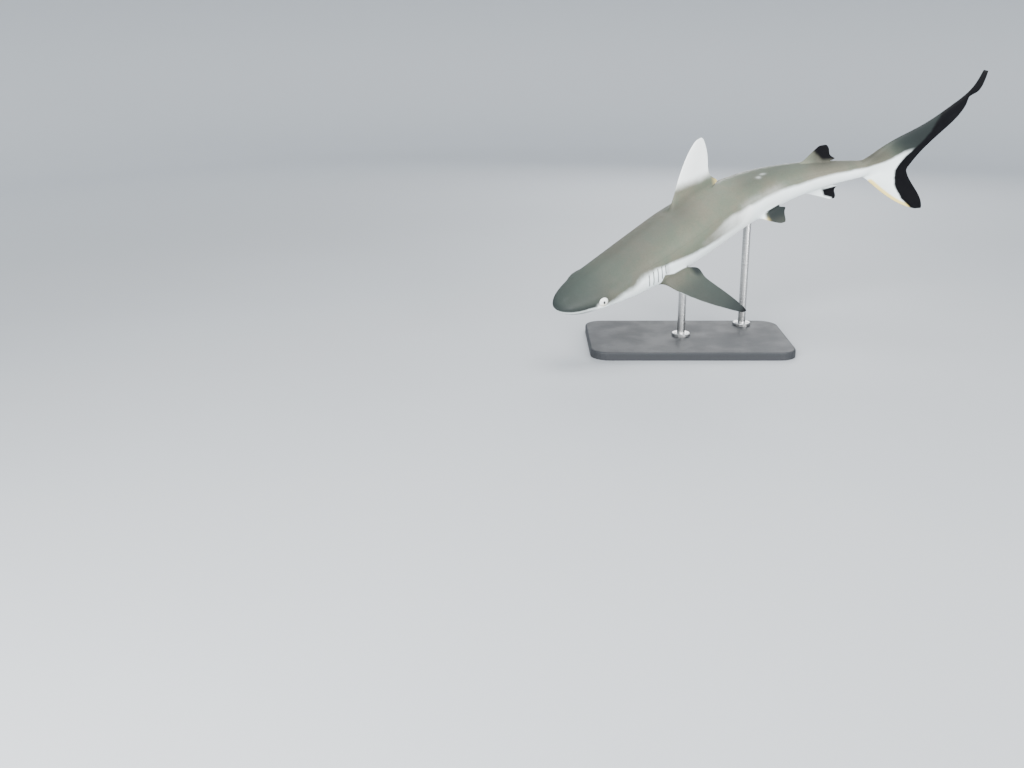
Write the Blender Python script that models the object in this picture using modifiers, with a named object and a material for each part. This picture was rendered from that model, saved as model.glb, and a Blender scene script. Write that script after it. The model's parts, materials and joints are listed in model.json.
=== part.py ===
"""A grey reef shark, life size and swimming, on a plain display stand.

The animal is one coarse cage of four-sided faces in a straight pose, with its fins and
eye sockets drawn out of that cage. The cage is subdivided once, parted along its own
edge loops into named pieces, and bent along the spine into the swimming pose.

Sizes of the animal are percent of its total length: along from the snout to the tail,
out to its left side, and up towards its back. Sizes of the stand are metres.
"""

from collections import namedtuple
from math import cos, pi, radians, sin

import bmesh
import bpy
from mathutils import Matrix, Quaternion, Vector

# The whole animal
LENGTH = 1.40  # snout tip to the tail's upper tip, along the body, in metres
PERCENT = LENGTH / 100
GAP = 0.0003  # between pieces that meet, in metres
TINY = 1e-6  # what rounding may leave of a zero
SHARP_FROM = radians(50)  # an edge that turns more than this is drawn sharp

# The body's section, wherever its outline changes: along, back, belly, half width
SECTIONS = (
    (0.15, 0.42, -0.32, 0.95),
    (0.6, 0.80, -0.60, 1.85),
    (2.0, 1.50, -1.20, 3.25),
    (5.0, 2.60, -1.90, 4.50),
    (8.0, 3.40, -2.45, 5.10),
    (12.0, 4.30, -3.60, 5.55),
    (17.0, 5.20, -4.70, 5.90),
    (22.0, 5.80, -5.50, 6.10),
    (30.0, 6.40, -6.10, 6.20),
    (38.0, 6.20, -6.15, 5.80),
    (46.0, 5.70, -5.55, 5.00),
    (52.0, 5.05, -4.75, 4.20),
    (60.0, 3.85, -3.45, 3.05),
    (66.0, 2.95, -2.55, 2.35),
    (73.8, 1.85, -1.55, 1.40),
)
SWELL = 1.012  # the cage stands this much outside the skin that it is subdivided into
FLAT_BELLY = 0.30  # how much squarer the underside is at the snout than an ellipse
FLAT_BELLY_END = 20.0

# Edge loops from the middle of the back to the middle of the belly, as angles on the
# section, ahead of the first dorsal fin and behind it
FRONT_LANES = (90, 83, 57, 30, 2, -23, -42, -64, -83, -90)
REAR_LANES = (90, 83, 58, 32, 6, -16, -37, -57, -83, -90)
LANE_CHANGE = (28.0, 46.0)
BELLY_LANE = len(FRONT_LANES) - 1
AROUND = 2 * BELLY_LANE

# The mouth is a crescent, so the loops under the head bow forward around it
MOUTH_RING = 11.0  # at the corners of the mouth
CHIN_RING = 14.0
MOUTH_BOW = {6: 0.02, 7: 0.17, 8: 0.345, 9: 0.375}  # lane: share of the way forward
BOW_KEPT = {CHIN_RING: 0.5}  # the loop behind the mouth bows less
JAW_TOP = -1.2  # the level that the lower jaw reaches up to inside the head

# Piece: where it ends, on the loop of faces counted from the snout
HEAD_END, GILLS_END, TRUNK_END, HIPS_END, TAIL_END = 17.5, 28.1, 45.0, 58.5, 72.3

# The tail fin's upper lobe: leading edge, trailing edge, half thickness
TAIL_RUNGS = (
    ((76.2, 3.45), (75.9, -1.55), 0.88),
    ((78.9, 5.15), (78.1, -1.50), 0.60),
    ((81.5, 6.40), (80.2, -1.35), 0.45),
    ((84.2, 7.50), (82.1, -1.00), 0.36),
    ((87.2, 8.95), (84.8, 2.45), 0.30),
    ((90.6, 11.00), (88.9, 6.00), 0.25),
    ((92.7, 12.25), (91.8, 8.30), 0.20),
    ((94.1, 13.25), (93.9, 10.90), 0.16),
    ((94.9, 13.95), (94.2, 12.45), 0.14),
    ((95.6, 14.75), (96.0, 12.85), 0.13),
    ((96.4, 15.95), (97.1, 14.40), 0.11),
    ((97.1, 17.10), (98.0, 16.70), 0.08),
)
RUNG_LANES = (0.0, 0.03, 0.12, 0.24, 0.38, 0.54, 0.70, 0.85, 0.97, 1.0)
FORK = TAIL_RUNGS[3][1]
EDGE = 0.06  # half the thickness of a fin just inside its edge

# Fins. Points are (along, out), with out measured from the fin's own root, in its plane.
# The plane starts at root (side, up) and slopes down to the side by droop degrees, so
# -90 stands straight up. Columns are the loops on either side of the root. Levels are
# shares of the span, and trail holds the trailing edge's point at each of them except
# the last, which is the tip.
Fin = namedtuple(
    "Fin",
    "name columns mirror root droop origin insertion lead_pull tip trail"
    " tip_width thick levels",
)
TIP_THIN = 0.85  # how much of its thickness a fin loses from root to tip
EDGE_LANE = 0.03  # share of the chord between a fin's edge and the next loop
THICKEST_EARLY = 0.45  # under 1 moves a fin's thickest point towards its leading edge
FIRST_DORSAL = Fin(
    name="first_dorsal_fin",
    columns=(1, 0, AROUND - 1),
    mirror=1,
    root=(0, 0),
    droop=-90,
    origin=(29.7, 6.35),
    insertion=(39.8, 6.05),
    lead_pull=(35.0, 15.6),
    tip=(39.95, 16.85),
    trail=((43.9, 6.25), (40.9, 8.5), (41.5, 12.2), (41.35, 15.2)),
    tip_width=1.6,
    thick=0.50,
    levels=(0.10, 0.30, 0.58, 0.85, 1.0),
)
SECOND_DORSAL = FIRST_DORSAL._replace(
    name="second_dorsal_fin",
    origin=(61.8, 3.55),
    insertion=(66.6, 2.9),
    lead_pull=(64.6, 5.9),
    tip=(66.4, 6.5),
    trail=((69.0, 3.05), (67.5, 4.0), (67.6, 5.5)),
    tip_width=1.5,
    thick=0.24,
    levels=(0.13, 0.45, 0.8, 1.0),
)
ANAL = SECOND_DORSAL._replace(
    name="anal_fin",
    columns=(BELLY_LANE - 1, BELLY_LANE, BELLY_LANE + 1),
    origin=(61.8, -3.15),
    insertion=(66.6, -2.5),
    lead_pull=(65.0, -4.6),
    tip=(67.5, -5.6),
    trail=((69.0, -2.75), (67.9, -3.5), (68.2, -4.7)),
    tip_width=1.1,
)
LOWER_LOBE = FIRST_DORSAL._replace(
    name="caudal_fin_lower_lobe",
    columns=(BELLY_LANE - 1, BELLY_LANE, BELLY_LANE + 1),
    origin=(73.8, -1.55),
    insertion=FORK,
    lead_pull=(79.1, -8.9),
    tip=(84.1, -10.0),
    trail=((82.2, -1.6), (82.6, -3.2), (83.7, -5.5), (84.7, -7.9)),
    tip_width=1.3,
    thick=0.34,
    levels=(0.10, 0.36, 0.64, 0.87, 1.0),
)
LEFT_PECTORAL = Fin(
    name="pectoral_fin_left",
    columns=(6, 5),
    mirror=1,
    root=(5.0, -3.3),
    droop=28,
    origin=(21.0, 0.0),
    insertion=(26.5, 0.0),
    lead_pull=(24.4, 9.2),
    tip=(29.6, 14.2),
    trail=((29.7, 1.3), (28.75, 3.6), (29.35, 6.9), (29.95, 10.7)),
    tip_width=1.0,
    thick=0.62,
    levels=(0.13, 0.32, 0.58, 0.84, 1.0),
)
LEFT_PELVIC = Fin(
    name="pelvic_fin_left",
    columns=(7, 6),
    mirror=1,
    root=(3.1, -3.2),
    droop=50,
    origin=(49.4, 0.0),
    insertion=(54.5, 0.0),
    lead_pull=(51.6, 2.3),
    tip=(54.6, 3.15),
    trail=((56.5, 0.2), (55.7, 0.9), (55.4, 2.1)),
    tip_width=1.1,
    thick=0.30,
    levels=(0.2, 0.5, 0.82, 1.0),
)


def mirrored(fin):
    """The same fin on the right side."""
    return fin._replace(
        name=fin.name.replace("left", "right"),
        columns=tuple(AROUND - column for column in fin.columns),
        mirror=-1,
    )


FINS = (
    FIRST_DORSAL,
    SECOND_DORSAL,
    ANAL,
    LOWER_LOBE,
    LEFT_PECTORAL,
    mirrored(LEFT_PECTORAL),
    LEFT_PELVIC,
    mirrored(LEFT_PELVIC),
)

# Eyes
EYE_RING, EYE_LANE = 7.6, 4
EYE_RADIUS = 0.97
EYE_DEPTH = 0.52  # half the ball's thickness, as it is flatter than it is wide
EYE_SINK = 0.25  # how far its widest circle lies under the head's surface
SOCKET = ((1.24, 0.15), (1.12, 0.57), (0.80, 1.00))  # radius and depth of each step

# Loops of the cage, from the snout to the root of the tail fin
STATIONS = (
    (0.15, 0.8, 2.2, 4.0, 6.0, EYE_RING, 9.2, MOUTH_RING, CHIN_RING, HEAD_END)
    + (21.0, 23.7, 26.5, GILLS_END, 29.7, 33.0, 36.4, 39.8, TRUNK_END)
    + (49.4, 51.9, 54.5, HIPS_END, 61.8, 64.2, 66.6, TAIL_END, 73.8)
)

# Pose: heading of the snout's axis, and how the spine turns behind it. Angles are
# degrees, and turns are degrees in one whole body length: side, rise, twist.
SNOUT_AT = Vector((-0.3820, -0.2260, 0.1570))
YAW, PITCH, ROLL = 27.76, 19.06, 18.3
TURNS = (
    (0, -4, 2, -3),
    (15, -53, 1, -33),
    (30, -3, -6, -29),
    (45, 117, -9, -6),
    (60, 189, -3, 4),
    (75, 44, 5, 1),
    (88, -55, 8, -13),
    (100, -56, 4, -10),
)

# Stand, in metres
BASE_LONG, BASE_WIDE, BASE_THICK = 0.56, 0.34, 0.022
BASE_CORNER = 0.05
BASE_EDGE = 0.004
FOOT_EDGE = 0.002
ROD_RADIUS = 0.011
ROD_FOOT_RADIUS, ROD_FOOT_HIGH = 0.026, 0.008
ROD_STATIONS = {"stand_rod_front": 33.0, "stand_rod_rear": 50.0}

# Colours
GREY_SKIN = (0.20, 0.20, 0.17)
DARK_SKIN = (0.035, 0.035, 0.035)
PALE_EYE = (0.55, 0.56, 0.50)
PAINTED_BASE = (0.055, 0.058, 0.062)
ROD_METAL = (0.55, 0.55, 0.54)


def fresh_collections():
    """An empty scene with one collection for the parts and one for the cutters."""
    for obj in list(bpy.data.objects):
        bpy.data.objects.remove(obj, do_unlink=True)
    made = []
    for name in ("Grey reef shark", "Cutters"):
        collection = bpy.data.collections.new(name)
        bpy.context.scene.collection.children.link(collection)
        made.append(collection)
    made[1].hide_render = True
    return made


def new_material(name, color, roughness, metallic=0.0):
    material = bpy.data.materials.new(name)
    material.use_nodes = True
    shader = material.node_tree.nodes["Principled BSDF"]
    shader.inputs["Base Color"].default_value = (*color, 1.0)
    shader.inputs["Roughness"].default_value = roughness
    shader.inputs["Metallic"].default_value = metallic
    return material


def new_object(name, mesh, collection, material=None):
    obj = bpy.data.objects.new(name, mesh)
    collection.objects.link(obj)
    if material:
        mesh.materials.clear()
        mesh.materials.append(material)
    return obj


def smooth_between(rows, at):
    """The sizes at one place along, on smooth curves through the rows."""
    at = min(max(at, rows[0][0]), rows[-1][0])
    right = next(n for n in range(1, len(rows)) if at <= rows[n][0])
    after = min(right + 1, len(rows) - 1)
    left, before = right - 1, max(right - 2, 0)
    span = rows[right][0] - rows[left][0]
    t = (at - rows[left][0]) / span
    values = []
    for k in range(1, len(rows[0])):
        slope_in = (rows[right][k] - rows[before][k]) / (rows[right][0] - rows[before][0])
        slope_out = (rows[after][k] - rows[left][k]) / (rows[after][0] - rows[left][0])
        values.append(
            (2 * t**3 - 3 * t**2 + 1) * rows[left][k]
            + (3 * t**2 - 2 * t**3) * rows[right][k]
            + (t**3 - 2 * t**2 + t) * slope_in * span
            + (t**3 - t**2) * slope_out * span
        )
    return values


def lane_angle(lane, along):
    start, end = LANE_CHANGE
    share = min(max((along - start) / (end - start), 0), 1)
    return radians(FRONT_LANES[lane] * (1 - share) + REAR_LANES[lane] * share)


def body_point(station, column):
    """A point of the cage on the body, from its loop around and its lane along."""
    lane = min(column, AROUND - column)
    side = 1 if column <= BELLY_LANE else -1
    bow = 0.0
    if station <= CHIN_RING:
        bow = MOUTH_BOW.get(lane, 0.0) * BOW_KEPT.get(station, 1.0)
    along = station * (1 - bow)
    back, belly, half_width = smooth_between(SECTIONS, along)
    middle, half_height = (back + belly) / 2, (back - belly) / 2
    angle = lane_angle(lane, along)
    round_out, round_up = cos(angle), sin(angle)
    if angle < 0:
        square = 1 - FLAT_BELLY * max(1 - along / FLAT_BELLY_END, 0)
        round_out, round_up = abs(round_out) ** square, -(abs(round_up) ** square)
    return Vector(
        (
            along,
            side * half_width * round_out * SWELL,
            middle + half_height * round_up * SWELL,
        )
    )


def fin_swell(share):
    """Thickness of a fin over its chord: 0 at both edges and 1 a fifth of the way."""
    return sin(pi * share**THICKEST_EARLY) ** 2 if 0 < share < 1 else 0.0


def rung_point(rung, column):
    """A point of the cage on the tail fin's upper lobe."""
    lane = min(column, AROUND - column)
    side = 1 if column <= BELLY_LANE else -1
    lead, trail, thick = rung
    share = RUNG_LANES[lane]
    along, up = Vector(lead).lerp(Vector(trail), share)
    off = 0.0 if lane in (0, BELLY_LANE) else EDGE + thick * fin_swell(share)
    return Vector((along, side * off, up))


def tube(cage, rings):
    """Faces between the rings of points, numbered on the cage by ring and column."""
    ring_layer = cage.verts.layers.int.new("ring")
    column_layer = cage.verts.layers.int.new("column")
    verts = []
    for ring, points in enumerate(rings):
        verts.append([cage.verts.new(point) for point in points])
        for column, vert in enumerate(verts[-1]):
            vert[ring_layer] = ring
            vert[column_layer] = column
    faces = {}
    for ring in range(len(verts) - 1):
        for column in range(AROUND):
            beside = (column + 1) % AROUND
            faces[ring, column] = cage.faces.new(
                (
                    verts[ring][column],
                    verts[ring][beside],
                    verts[ring + 1][beside],
                    verts[ring + 1][column],
                )
            )
    return verts, faces


def close_snout(cage, ring):
    """Two columns of faces over the snout's tip, left and right of its middle."""
    middle = {}
    for column in range(1, BELLY_LANE):
        middle[column] = cage.verts.new((0.0, 0.0, ring[column].co.z))
    middle[0], middle[BELLY_LANE] = ring[0], ring[BELLY_LANE]
    for column in range(BELLY_LANE):
        for side in (1, -1):
            outer = [ring[side * column % AROUND], ring[side * (column + 1) % AROUND]]
            corners = [*outer, middle[column + 1], middle[column]]
            cage.faces.new(list(dict.fromkeys(corners)))


def close_loop(cage, loop):
    """Rungs of faces across a closed loop of vertices that starts at its middle."""
    count = len(loop)
    made = []
    for n in range(count // 2):
        corners = (loop[n], loop[n + 1], loop[count - n - 1], loop[-n])
        made.append(cage.faces.new(list(dict.fromkeys(corners))))
    return made


def curve(start, pull, end, t):
    return (
        Vector(start) * (1 - t) ** 2 + Vector(pull) * 2 * t * (1 - t) + Vector(end) * t**2
    )


def fin_point(fin, level, share, sign):
    """A point of the cage on a fin, by its share of the span and of the chord."""
    half_tip = Vector((fin.tip_width / 2, 0))
    tip = Vector(fin.tip)
    lead = curve(fin.origin, fin.lead_pull, tip - half_tip, level)
    trail = (*map(Vector, fin.trail), tip + half_tip)[fin.levels.index(level)]
    if len(fin.columns) == 3 and sign:
        share = EDGE_LANE + (1 - 2 * EDGE_LANE) * share
    along, out = lead.lerp(trail, share)
    off = sign * (EDGE + fin.thick * (1 - TIP_THIN * level) * fin_swell(share))
    droop = radians(fin.droop)
    return Vector(
        (
            along,
            fin.mirror * (fin.root[0] + out * cos(droop) + off * sin(droop)),
            fin.root[1] - out * sin(droop) + off * cos(droop),
        )
    )


def extrude(cage, patch):
    """Draws a patch of faces out of the cage, with walls of new faces around it."""
    made = bmesh.ops.extrude_face_region(cage, geom=patch)["geom"]
    bmesh.ops.delete(cage, geom=patch, context="FACES")
    return [part for part in made if isinstance(part, bmesh.types.BMFace)]


def column_between(one, other):
    """The column of faces between two loops, the last of which lies beside the first."""
    low, high = sorted((one, other))
    return low if high - low == 1 else high


def draw_fin(cage, faces, rings, fin):
    """Draws a fin out of the faces over its root, and gives the faces it is made of."""
    ring_layer = cage.verts.layers.int["ring"]
    column_layer = cage.verts.layers.int["column"]
    first, last = rings.index(fin.origin[0]), rings.index(fin.insertion[0])
    between = [column_between(*pair) for pair in zip(fin.columns, fin.columns[1:])]
    patch = [faces[ring, column] for ring in range(first, last) for column in between]
    signs = dict(zip(fin.columns, (-1, 0, 1) if len(fin.columns) == 3 else (-1, 1)))
    root_long = fin.insertion[0] - fin.origin[0]
    body = set(cage.faces)
    for level in fin.levels:
        patch = extrude(cage, patch)
        for vert in {vert for face in patch for vert in face.verts}:
            share = (rings[vert[ring_layer]] - fin.origin[0]) / root_long
            vert.co = fin_point(fin, level, share, signs[vert[column_layer]])
    return set(cage.faces) - body


def eye_frame(side):
    """The middle of the eye's opening, and its forward, outward and upward directions."""
    before, after = STATIONS.index(EYE_RING) - 1, STATIONS.index(EYE_RING) + 1
    low, high = body_point(EYE_RING, EYE_LANE + 1), body_point(EYE_RING, EYE_LANE - 1)
    forward = body_point(STATIONS[before], EYE_LANE) - body_point(STATIONS[after], EYE_LANE)
    middle = body_point(EYE_RING, EYE_LANE)
    upward = (high - low).normalized()
    forward = (forward - forward.project(upward)).normalized()
    outward = upward.cross(forward).normalized()
    if outward.y < 0:
        outward.negate()
    flip = Vector((1, side, 1))
    return [vector * flip for vector in (middle, forward, outward, upward)]


def draw_socket(cage, faces, side):
    """Presses a round socket into the four faces about the eye."""
    ring_layer = cage.verts.layers.int["ring"]
    column_layer = cage.verts.layers.int["column"]
    eye_ring = STATIONS.index(EYE_RING)
    eye_column = EYE_LANE if side == 1 else AROUND - EYE_LANE
    patch = [
        faces[ring, column]
        for ring in (eye_ring - 1, eye_ring)
        for column in (eye_column - 1, eye_column)
    ]
    middle, forward, outward, upward = eye_frame(side)
    for radius, depth in SOCKET:
        patch = extrude(cage, patch)
        for vert in {vert for face in patch for vert in face.verts}:
            ahead = eye_ring - vert[ring_layer]
            above = side * (eye_column - vert[column_layer])
            away = (forward * ahead + upward * above).normalized()
            vert.co = middle + away * radius - outward * depth


def build_cage():
    """The straight animal: its cage, and the name of the piece that each face is in."""
    rings = list(STATIONS) + [rung[1][0] for rung in TAIL_RUNGS]
    points = [[body_point(station, c) for c in range(AROUND)] for station in STATIONS]
    points += [[rung_point(rung, c) for c in range(AROUND)] for rung in TAIL_RUNGS]
    cage = bmesh.new()
    verts, faces = tube(cage, points)
    close_snout(cage, verts[0])
    close_loop(cage, verts[-1])
    pieces = (
        ("head", HEAD_END),
        ("gill_region", GILLS_END),
        ("trunk", TRUNK_END),
        ("hips", HIPS_END),
        ("tail", TAIL_END),
        ("caudal_fin_upper_lobe", None),
    )
    names = [name for name, _ in pieces]
    for face in cage.faces:
        along = face.calc_center_median().x
        ends = [n for n, (_, end) in enumerate(pieces) if end is None or along < end]
        face.material_index = ends[0]
    names.append("lower_jaw")
    mouth = rings.index(MOUTH_RING)
    for column in range(BELLY_LANE - 3, BELLY_LANE + 3):
        faces[mouth, column].material_index = len(names) - 1
    for fin in FINS:
        names.append(fin.name)
        for face in draw_fin(cage, faces, rings, fin):
            face.material_index = len(names) - 1
    for side in (1, -1):
        draw_socket(cage, faces, side)
    cage.normal_update()
    bmesh.ops.recalc_face_normals(cage, faces=cage.faces)
    return cage, names


def subdivided(cage, collection):
    """The cage after one round of subdivision, in a new bmesh."""
    mesh = bpy.data.meshes.new("cage")
    cage.to_mesh(mesh)
    obj = new_object("cage", mesh, collection)
    smooth = obj.modifiers.new("Subdivision", "SUBSURF")
    smooth.levels = smooth.render_levels = 1
    smooth.use_limit_surface = False
    shape = bmesh.new()
    shape.from_object(obj, bpy.context.evaluated_depsgraph_get())
    bpy.data.objects.remove(obj)
    bpy.data.meshes.remove(mesh)
    return shape


def open_loops(piece):
    """The closed loops of vertices around the openings of a piece."""
    loops = []
    edges = [edge for edge in piece.edges if edge.is_boundary]
    while edges:
        edge = edges.pop()
        loop = [edge.verts[0], edge.verts[1]]
        while loop[0] is not loop[-1]:
            edge = next(edge for edge in edges if loop[-1] in edge.verts)
            edges.remove(edge)
            loop.append(edge.other_vert(loop[-1]))
        loops.append(loop[:-1])
    return loops


def rung_length(loop):
    count = len(loop)
    return sum((loop[n].co - loop[count - n].co).length for n in range(1, count // 2))


def from_middle(loop):
    """The loop started where its rungs run straight from side to side."""
    starts = [loop[n:] + loop[:n] for n in range(len(loop))]
    on_middle = [start for start in starts if abs(start[0].co.y) < TINY]
    return min(on_middle or starts, key=rung_length)


def walled(piece, loop, up):
    """The loop lifted to one level inside the head, and walls that stand on the skin."""
    lifted = [piece.verts.new((vert.co.x, vert.co.y, up)) for vert in loop]
    corners = [(loop[n - 1], loop[n], lifted[n], lifted[n - 1]) for n in range(len(loop))]
    return lifted, [piece.faces.new(four) for four in corners]


def parted(shape, number):
    """One closed piece of the shape, drawn back from its neighbours by half the gap."""
    piece = shape.copy()
    others = [face for face in piece.faces if face.material_index != number]
    bmesh.ops.delete(piece, geom=others, context="FACES")
    loops = open_loops(piece)
    moves = {}
    for vert in (vert for loop in loops for vert in loop):
        inner = [edge.other_vert(vert) for edge in vert.link_edges if not edge.is_boundary]
        inward = sum((other.co - vert.co for other in inner), Vector())
        moves[vert] = inward.normalized() * GAP / 2 / PERCENT
    for vert, move in moves.items():
        vert.co += move
    ends = []
    for loop in loops:
        if all(vert.co.x < CHIN_RING for vert in loop):
            above = GAP / PERCENT if len(loops) > 1 else 0.0
            loop, walls = walled(piece, loop, JAW_TOP + above)
            ends += walls
        ends += close_loop(piece, from_middle(loop))
    # Both sides of a part line split its faces along the same, shorter diagonals.
    bmesh.ops.triangulate(piece, faces=ends, quad_method="SHORT_EDGE")
    return piece


def spine_frames():
    """Position, tail-ward, left and back-ward directions at each percent along."""
    yaw, pitch = radians(YAW), radians(PITCH)
    tailward = Vector((cos(pitch) * cos(yaw), cos(pitch) * sin(yaw), sin(pitch)))
    level_up = Vector((-sin(pitch) * cos(yaw), -sin(pitch) * sin(yaw), cos(pitch)))
    back = Quaternion(tailward, radians(ROLL)) @ level_up
    left = tailward.cross(back)
    place = SNOUT_AT.copy()
    frames = [(place.copy(), tailward, left, back)]
    for along in range(100):
        side, rise, twist = straight_between(TURNS, along)
        turn = tailward.cross(left) * side + tailward.cross(back) * rise
        turn += tailward * twist
        angle = radians(turn.length) / 100
        spin = Quaternion(turn.normalized(), angle)
        ahead = spin @ tailward
        place += (tailward + ahead) / 2 * PERCENT
        tailward, left, back = ahead, spin @ left, spin @ back
        frames.append((place.copy(), tailward, left, back))
    return frames


def straight_between(rows, at):
    right = next(n for n in range(1, len(rows)) if at <= rows[n][0])
    start, end = rows[right - 1], rows[right]
    t = (at - start[0]) / (end[0] - start[0])
    return [a + (b - a) * t for a, b in zip(start[1:], end[1:])]


def posed(frames, point, hold=100):
    """A point of the straight animal in the swimming pose, in metres.

    Behind the place named by hold, the spine counts as straight: a fin's free edge
    moves with its root.
    """
    along = min(max(point.x, 0), hold)
    step = min(int(along), 99)
    share = along - step
    ahead = [a.lerp(b, share) for a, b in zip(frames[step], frames[step + 1])]
    place, tailward, left, back = ahead
    beyond = point.x - along
    return place + (tailward * beyond + left * point.y + back * point.z) * PERCENT


def piece_object(frames, piece, name, collection, material, hold):
    for vert in piece.verts:
        vert.co = posed(frames, vert.co, hold)
    piece.normal_update()
    bmesh.ops.recalc_face_normals(piece, faces=piece.faces)
    for face in piece.faces:
        face.material_index = 0
        face.smooth = True
    mesh = bpy.data.meshes.new(name)
    piece.to_mesh(mesh)
    piece.free()
    mesh.set_sharp_from_angle(angle=SHARP_FROM)
    return new_object(name, mesh, collection, material)


def build_eye(frames, side, collection, material):
    """A flattened ball in its socket, on the head's own frame."""
    middle, forward, outward, upward = eye_frame(side)
    centre = middle - outward * EYE_SINK
    ball = bmesh.new()
    bmesh.ops.create_uvsphere(ball, u_segments=14, v_segments=8, radius=EYE_RADIUS)
    for vert in ball.verts:
        flat = vert.co.z * EYE_DEPTH / EYE_RADIUS
        offset = forward * vert.co.x + upward * vert.co.y + outward * flat
        vert.co = posed(frames, centre + offset, EYE_RING)
    ball.normal_update()
    bmesh.ops.recalc_face_normals(ball, faces=ball.faces)
    for face in ball.faces:
        face.smooth = True
    name = "eye_left" if side == 1 else "eye_right"
    mesh = bpy.data.meshes.new(name)
    ball.to_mesh(mesh)
    ball.free()
    return new_object(name, mesh, collection, material)


def grown_copy(source, by, collection):
    """A cutter: the same shape, pushed out along its normals."""
    shape = bmesh.new()
    shape.from_mesh(source.data)
    shape.normal_update()
    for vert, out in [(vert, vert.normal.copy()) for vert in shape.verts]:
        vert.co += out * by
    mesh = bpy.data.meshes.new(source.name + "_grown")
    shape.to_mesh(mesh)
    shape.free()
    cutter = new_object(source.name + "_grown", mesh, collection)
    cutter.display_type = "WIRE"
    cutter.hide_render = True
    return cutter


def build_rod(frames, name, holds, collections, material):
    """A turned rod with a wide foot, its top cut to the belly that it carries."""
    top = posed(frames, Vector((ROD_STATIONS[name], 0, 0)))
    foot = BASE_THICK + GAP
    profile = (
        (0.0, top.z),
        (ROD_RADIUS, top.z),
        (ROD_RADIUS, foot + ROD_FOOT_HIGH),
        (ROD_FOOT_RADIUS - FOOT_EDGE, foot + ROD_FOOT_HIGH),
        (ROD_FOOT_RADIUS, foot + ROD_FOOT_HIGH - FOOT_EDGE),
        (ROD_FOOT_RADIUS, foot),
        (0.0, foot),
    )
    mesh = bpy.data.meshes.new(name)
    ends = [(n, n + 1) for n in range(len(profile) - 1)]
    mesh.from_pydata([(radius, 0, up) for radius, up in profile], ends, [])
    rod = new_object(name, mesh, collections[0], material)
    rod.location = (top.x, top.y, 0)
    turned = rod.modifiers.new("Turned", "SCREW")
    turned.steps = turned.render_steps = 16
    turned.use_merge_vertices = True
    turned.merge_threshold = 0.0001
    scribed = rod.modifiers.new("Scribed", "BOOLEAN")
    scribed.object = grown_copy(holds, GAP, collections[1])
    return rod


def build_base(collection, material):
    """A flat plate with round corners and an eased upper edge."""
    plate = bmesh.new()
    size = Matrix.Diagonal((BASE_LONG, BASE_WIDE, BASE_THICK, 1))
    lift = Matrix.Translation((0, 0, BASE_THICK / 2))
    bmesh.ops.create_cube(plate, size=1, matrix=lift @ size)
    upright = [
        edge
        for edge in plate.edges
        if abs(edge.verts[0].co.z - edge.verts[1].co.z) > BASE_THICK / 2
    ]
    bmesh.ops.bevel(
        plate, geom=upright, offset=BASE_CORNER, segments=6, profile=0.5, affect="EDGES"
    )
    rim = [
        edge
        for edge in plate.edges
        if all(vert.co.z > BASE_THICK - TINY for vert in edge.verts) and edge.is_manifold
    ]
    bmesh.ops.bevel(
        plate, geom=rim, offset=BASE_EDGE, segments=2, profile=0.5, affect="EDGES"
    )
    mesh = bpy.data.meshes.new("stand_base")
    plate.to_mesh(mesh)
    plate.free()
    return new_object("stand_base", mesh, collection, material)


def main():
    parts, cutters = fresh_collections()
    grey = new_material("grey skin", GREY_SKIN, 0.5)
    dark = new_material("dark skin", DARK_SKIN, 0.5)
    pale = new_material("pale eye", PALE_EYE, 0.15)
    painted = new_material("painted base", PAINTED_BASE, 0.45)
    metal = new_material("rod metal", ROD_METAL, 0.35, metallic=1.0)
    frames = spine_frames()
    cage, names = build_cage()
    shape = subdivided(cage, cutters)
    cage.free()
    hold = {fin.name: fin.insertion[0] for fin in FINS if fin is not LOWER_LOBE}
    dark_pieces = ("second_dorsal_fin", "anal_fin", "caudal_fin_lower_lobe")
    made = {}
    for number, name in enumerate(names):
        material = dark if name in dark_pieces else grey
        piece = parted(shape, number)
        made[name] = piece_object(frames, piece, name, parts, material, hold.get(name, 100))
    shape.free()
    for side in (1, -1):
        build_eye(frames, side, parts, pale)
    build_base(parts, painted)
    for name in ROD_STATIONS:
        holds = made["trunk"] if ROD_STATIONS[name] < TRUNK_END else made["hips"]
        build_rod(frames, name, holds, (parts, cutters), metal)


main()
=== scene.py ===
# %% [markdown]
# # A grey reef shark on its stand
#
# This lesson dresses a finished solid model: a grey reef shark, 1.4 m long, held up by
# two steel rods on a plate. The solids already have the right sizes and the swimming
# pose. What they lack is a skin without seams, a face, gills, markings and finishes.
# Everything is in metres, with Z up and the floor at zero.

# %% Load the solids
import json
from math import cos, pi, radians, sin

import bpy
import numpy as np
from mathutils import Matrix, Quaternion, Vector
from mathutils.bvhtree import BVHTree

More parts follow.
